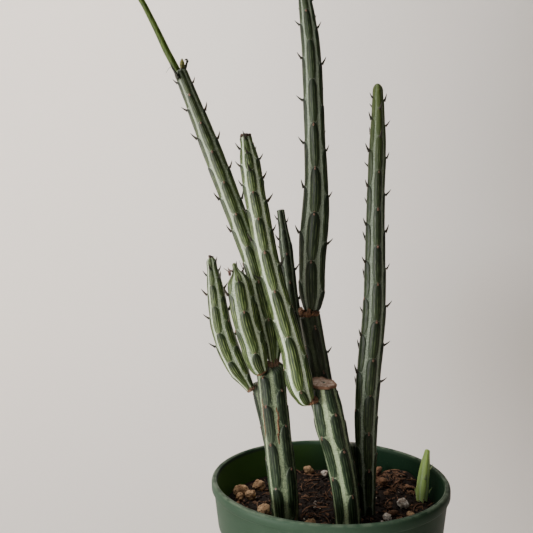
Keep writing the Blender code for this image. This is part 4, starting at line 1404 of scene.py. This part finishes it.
def lump_form():
    """Rounds a plain lump off and roughens it with hollows and fine pits."""
    sizes = {"Swell": 0.00015, "Depth": 0.0009, "Pitch": 420.0, "Shift": 0.0, "Grain": 1.0}
    sheet, given = form("weathered lump", sizes)
    body = sheet.add('GeometryNodeSubdivisionSurface', {"Mesh": given["Geometry"], "Level": 2})
    place = sheet.add('GeometryNodeInputPosition')
    stretch = sheet.add('ShaderNodeCombineXYZ', {"X": given["Grain"], "Y": 1.0, "Z": 1.0})
    place = sheet.add('ShaderNodeVectorMath', {0: place, 1: stretch}, operation='MULTIPLY')
    shift = sheet.add('ShaderNodeCombineXYZ', {"X": given["Shift"]})
    place = sheet.add('ShaderNodeVectorMath', {0: place, 1: shift}, operation='ADD')
    lumps = sheet.noise(place, given["Pitch"], 4.0, 0.6) - 0.5
    pits = sheet.smooth(sheet.cells(place, given["Pitch"] * 3.0), 0.0, 0.45) - 1.0
    normal = sheet.add('GeometryNodeInputNormal')
    push = given["Swell"] + given["Depth"] * lumps * 2.0 + given["Depth"] * pits * 0.4
    body = sheet.add('GeometryNodeSetPosition',
                     {"Geometry": body, "Offset": sheet.scaled(normal, push)})
    return end_form(sheet, body, given["Material"])


def build_lumps():
    """Each named stone, bark piece and perlite grain, weathered from its plain solid."""
    kinds = {"stone": (STONE_SKIN, {"Depth": 0.0017, "Grain": 1.0, "Swell": 0.00065}),
             "bark": (BARK_SKIN, {"Depth": 0.0016, "Grain": 0.4, "Swell": 0.0002}),
             "perlite": (PERLITE_SKIN, {"Depth": 0.0019, "Grain": 1.0, "Swell": 0.0003})}
    slots = {part["node"]: part["material_slot"] for part in frame["record"]["subparts"]}
    dice = random.Random(2)
    for node in sorted(frame["nodes"]):
        kind = node.split("_")[0]
        if kind not in kinds:
            continue
        skin, sizes = kinds[kind]
        edit = bmesh.new()
        edit.from_mesh(frame["nodes"][node].data)
        bmesh.ops.remove_doubles(edit, verts=edit.verts, dist=MERGE)
        piece = new_piece(node + "_rough", [], [])
        edit.to_mesh(piece.data)
        edit.free()
        carry(piece.data, "tint", [dice.uniform(0.1, 0.9)] * len(piece.data.vertices))
        shape_by(piece, LUMP, Shift=dice.uniform(0.0, 1.0), Material=skin, **sizes)
        hand_over(piece, slots[node], node)


# ---------------------------------------------------------------- flower stalk and buds

def build_flowering_tip():
    """The smooth flower stalk, its closed flower and the small new bud beside it."""
    skin = Finish("stalk_green", 0.5, Specular_IOR_Level=0.12)
    streaks = skin.noise(skin.stretched(skin.place, (1.0, 1.0, 0.2)), 1300.0, 3.0)
    colour = skin.mix(skin.smooth(streaks, 0.35, 0.65), (0.024, 0.041, 0.004), (0.060, 0.094, 0.014))
    skin.paint(colour, 0.4 + streaks * 0.15, streaks, 0.0002)
    spine = Spine("flower_stalk", ribs=3, valley=1.0, top_cut=0.5, deeper=3.0, skip=9.0,
                  fit=[(0, -0.6, 1.25), (0.14, -0.6, 1.2), (0.25, 0, 1.12), (0.37, 0.8, 1.08),
                       (0.5, 0.8, 1.05), (1, 0, 1)])
    distance = np.arange(0, spine.length, 0.6 * MM)
    sides = 28
    centre, radius, right, front, _ = spine.at(distance)
    angle = np.arange(sides) * 2 * math.pi / sides
    reach = radius[:, None] * (1 + 0.05 * np.cos(angle * 7))[None, :]
    points = centre[:, None, :] + spokes(front, right, angle) * reach[:, :, None]
    stalk = new_piece("flower_stalk_skin", points.reshape(-1, 3),
                      tube_faces(len(distance), sides), skin.material)
    hand_over(stalk, "stem_light_green", "flower_stalk")
    flower_head(skin.material)
    small_bud()


def petal_row(count, base, top, length, width, lean, turn, points, faces, bow=0.15):
    """A ring of pointed scales round an axis, in the axis's own frame, in millimetres."""
    across, along = 5, 9
    for number in range(count):
        angle = 2 * math.pi * (number + turn) / count
        out, side = spoke(angle), spoke(angle + math.pi / 2)
        for face_side in (1, -1):
            start = len(points)
            for i in range(along):
                share = i / (along - 1)
                half = width * (1 - share ** 2.5) ** 0.8 * (0.75 + 0.5 * share * (1 - share))
                reach = base + (top - base) * share + bow * length * share * (1 - share)
                for j in range(across):
                    sway = (j / (across - 1) * 2 - 1)
                    curl = -0.28 * half * sway * sway
                    point = out * (reach + curl + 0.06 * face_side * (1 - share * 0.7))
                    point += side * half * sway + Vector((0, 0, length * share + lean))
                    points.append(point)
            for i in range(along - 1):
                for j in range(across - 1):
                    a = start + i * across + j
                    quad = (a, a + 1, a + across + 1, a + across)
                    faces.append(quad if face_side == 1 else quad[::-1])


def flower_head(green):
    """A narrow closed flower: small scales at its foot and long scales round the petals."""
    solid = corners("flower_bud").reshape(-1, 3)
    foot = Vector(solid[solid[:, 2].argmin()])
    head = Vector(solid[solid[:, 2].argmax()])
    length = (head - foot).length / MM
    place = stand_on(foot, head)
    points, faces = [], []
    petal_row(8, 1.55, 1.35, length * 0.78, 0.95, 0.4, 0.0, points, faces, bow=0.10)
    petal_row(7, 1.9, 2.1, length * 0.25, 0.55, 0.2, 0.4, points, faces, bow=0.12)
    scales = new_piece("flower_scales", [place @ (p * MM) for p in points], faces, green)
    hand_over(scales, "stem_light_green")
    red = Finish("flower_red", 0.55)
    flecks = red.noise(red.place, 900.0, 3.0)
    colour = red.mix(red.smooth(flecks, 0.35, 0.65), (0.42, 0.045, 0.018), (0.60, 0.13, 0.03))
    red.paint(colour, 0.5 + flecks * 0.2, flecks, 0.0002)
    points, sides = [], 40
    outline = [(1.0, 0.0), (1.35, 0.12), (1.45, 0.4), (1.4, 0.7), (1.25, 0.82), (0.95, 0.92),
               (0.5, 0.975)]
    for reach, share in outline:
        for side in range(sides):
            angle = 2 * math.pi * side / sides
            ripple = 1 + 0.09 * share * math.cos(angle * 10)
            points.append(spoke(angle) * reach * ripple + Vector((0, 0, share * length)))
    faces = ring_quads(len(outline), sides) + [tuple(range(sides))[::-1]]
    last = (len(outline) - 1) * sides
    points.append(Vector((0, 0, length * 0.97)))
    for side in range(sides):
        faces.append((last + side, last + (side + 1) % sides, len(points) - 1))
    petals = new_piece("flower_petals", [place @ (p * MM) for p in points], faces, red.material)
    hand_over(petals, "stem_light_green", "flower_bud")


def small_bud():
    """The new bud: a few young leaves folded round each other."""
    low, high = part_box("tip_bud")
    foot = Vector(((low.x + high.x) / 2 - 0.8 * MM, low.y + 0.2 * MM, low.z + 1.0 * MM))
    head = foot + Vector((-0.3 * MM, 0, 4.3 * MM))
    length = (head - foot).length / MM
    skin = Finish("bud_yellow", 0.5)
    blush = skin.noise(skin.place, 1200.0, 2.0)
    colour = skin.mix(skin.smooth(blush, 0.35, 0.7), (0.050, 0.054, 0.004), (0.125, 0.115, 0.011))
    skin.paint(colour, 0.5, blush, 0.0002)
    place = stand_on(foot, head)
    points, faces = [], []
    petal_row(3, 0.80, 0.10, length, 1.35, 0.0, 0.0, points, faces, bow=0.35)
    petal_row(3, 1.00, 0.5, length * 0.75, 1.10, -0.4, 0.5, points, faces, bow=0.28)
    bud = new_piece("tip_bud_leaves", [place @ (p * MM) for p in points], faces, skin.material)
    hand_over(bud, "young_green", "tip_bud")


# ---------------------------------------------------------------- camera, floor, light

def build_camera():
    """A level view from the front, a little left of the pot's axis."""
    camera = bpy.data.objects.new("camera", bpy.data.cameras.new("camera"))
    camera.data.sensor_width = SENSOR
    camera.data.lens = LENS
    camera.location = CAMERA_PLACE
    camera.rotation_euler = (math.radians(90), 0, 0)
    bpy.context.scene.collection.objects.link(camera)
    bpy.context.scene.camera = camera


def build_studio():
    """A pale floor that sweeps up into walls all round, soft lights and a weak sky."""
    outline = []
    for start, way, steps in ((SWEEP_FRONT, -1, range(SWEEP_STEPS, -1, -1)),
                              (SWEEP_BACK, 1, range(SWEEP_STEPS + 1))):
        for step in steps:
            angle = math.pi / 2 * step / SWEEP_STEPS
            outline.append((start + way * SWEEP_BEND * math.sin(angle),
                            SWEEP_BEND * (1 - math.cos(angle))))
    outline = [(outline[0][0], SWEEP_TOP)] + outline + [(outline[-1][0], SWEEP_TOP)]
    points = [(x, y, z) for y, z in outline for x in (-SWEEP_SIDE, SWEEP_SIDE)]
    faces = [(2 * i, 2 * i + 1, 2 * i + 3, 2 * i + 2) for i in range(len(outline) - 1)]
    faces.append(tuple(range(0, len(points), 2)))
    faces.append(tuple(range(1, len(points), 2))[::-1])
    sweep = new_piece("studio_sweep", points, faces, wall_skin())
    sweep.data.shade_smooth()
    sweep.data.set_sharp_from_angle(angle=math.radians(45))
    for light in LIGHTS:
        soft_light(*light)
    world = bpy.data.worlds.new("studio")
    world.use_nodes = True
    background = world.node_tree.nodes["Background"]
    background.inputs["Color"].default_value = SKY_COLOUR
    background.inputs["Strength"].default_value = SKY_STRENGTH
    bpy.context.scene.world = world


def wall_skin():
    """Pale matt paint with painted light and shade: warmer to the left as painted window light, and
    greyer to the right and low down as painted shade.
    """
    wall = Finish("studio_wall", 0.9, Specular_IOR_Level=0.1)
    cloud = wall.noise(wall.place, 2.5, 3.0)
    across = wall.add('ShaderNodeSeparateXYZ', {0: wall.place})
    rise = across.other("Z")
    # Painted shade that greys the wall to the right and low down.
    shade = wall.smooth(across - rise * 0.6, -0.1, 0.55) * 0.5
    colour = wall.mix(cloud, (0.78, 0.745, 0.71), (0.82, 0.785, 0.75))
    # Painted warm window light on the left.
    painted_warm_light = wall.smooth(across, 0.0, -0.45)
    colour = wall.mix(painted_warm_light, colour, (0.780, 0.725, 0.670))
    # Painted shade, deeper, in the low right corner.
    painted_corner_shade = wall.smooth(rise, 0.25, 0.0) * wall.smooth(across, 0.05, 0.45)
    colour = wall.mix(shade, colour, (0.38, 0.36, 0.335))
    return wall.paint(wall.mix(painted_corner_shade * 0.85, colour, (0.330, 0.300, 0.262)))


def soft_light(name, spot, aim, size, power, colour):
    """A large area light that shines from a spot at a point."""
    light = bpy.data.lights.new(name, 'AREA')
    light.shape = 'RECTANGLE'
    light.size, light.size_y = size
    light.energy = power
    light.color = colour
    lamp = bpy.data.objects.new(name, light)
    lamp.location = spot
    lamp.rotation_euler = (Vector(aim) - Vector(spot)).to_track_quat('-Z', 'Y').to_euler()
    bpy.context.scene.collection.objects.link(lamp)


# ---------------------------------------------------------------- build

RIBBED = ribbed_form()
AWL = awl_form()
SCAR = scar_form()
CRUMBS = crumb_form()
FIBRES = fibre_form()
LUMP = lump_form()
LEAF_BROWN = leaf_skin("leaf_brown", (0.006, 0.005, 0.004), (0.036, 0.017, 0.013),
                       (0.020, 0.024, 0.012))
LEAF_PALE = leaf_skin("leaf_pale", (0.200, 0.260, 0.130), (0.330, 0.290, 0.200),
                      (0.180, 0.300, 0.090))
SCAR_SKIN = cork_skin("scar_pink", (0.300, 0.170, 0.120), (0.110, 0.055, 0.035))
SOIL_SKIN = grit_skin("peat_soil", (0.004, 0.0025, 0.0018), (0.020, 0.011, 0.007), 500.0)
BARK_SKIN = grit_skin("bark", (0.018, 0.008, 0.005), (0.210, 0.110, 0.062), 420.0, 0.4)
STONE_SKIN = grit_skin("tan_stone", (0.120, 0.058, 0.025), (0.500, 0.330, 0.190), 380.0, 0.75)
PERLITE_SKIN = grit_skin("perlite", (0.180, 0.115, 0.075), (0.720, 0.670, 0.600), 480.0, 0.85)

build_camera()
build_studio()
all_stems = build_stems()
build_leaves(all_stems.values())
build_cork(all_stems)
build_dried_leaves()
build_flowering_tip()
build_pot()
build_soil()
build_lumps()
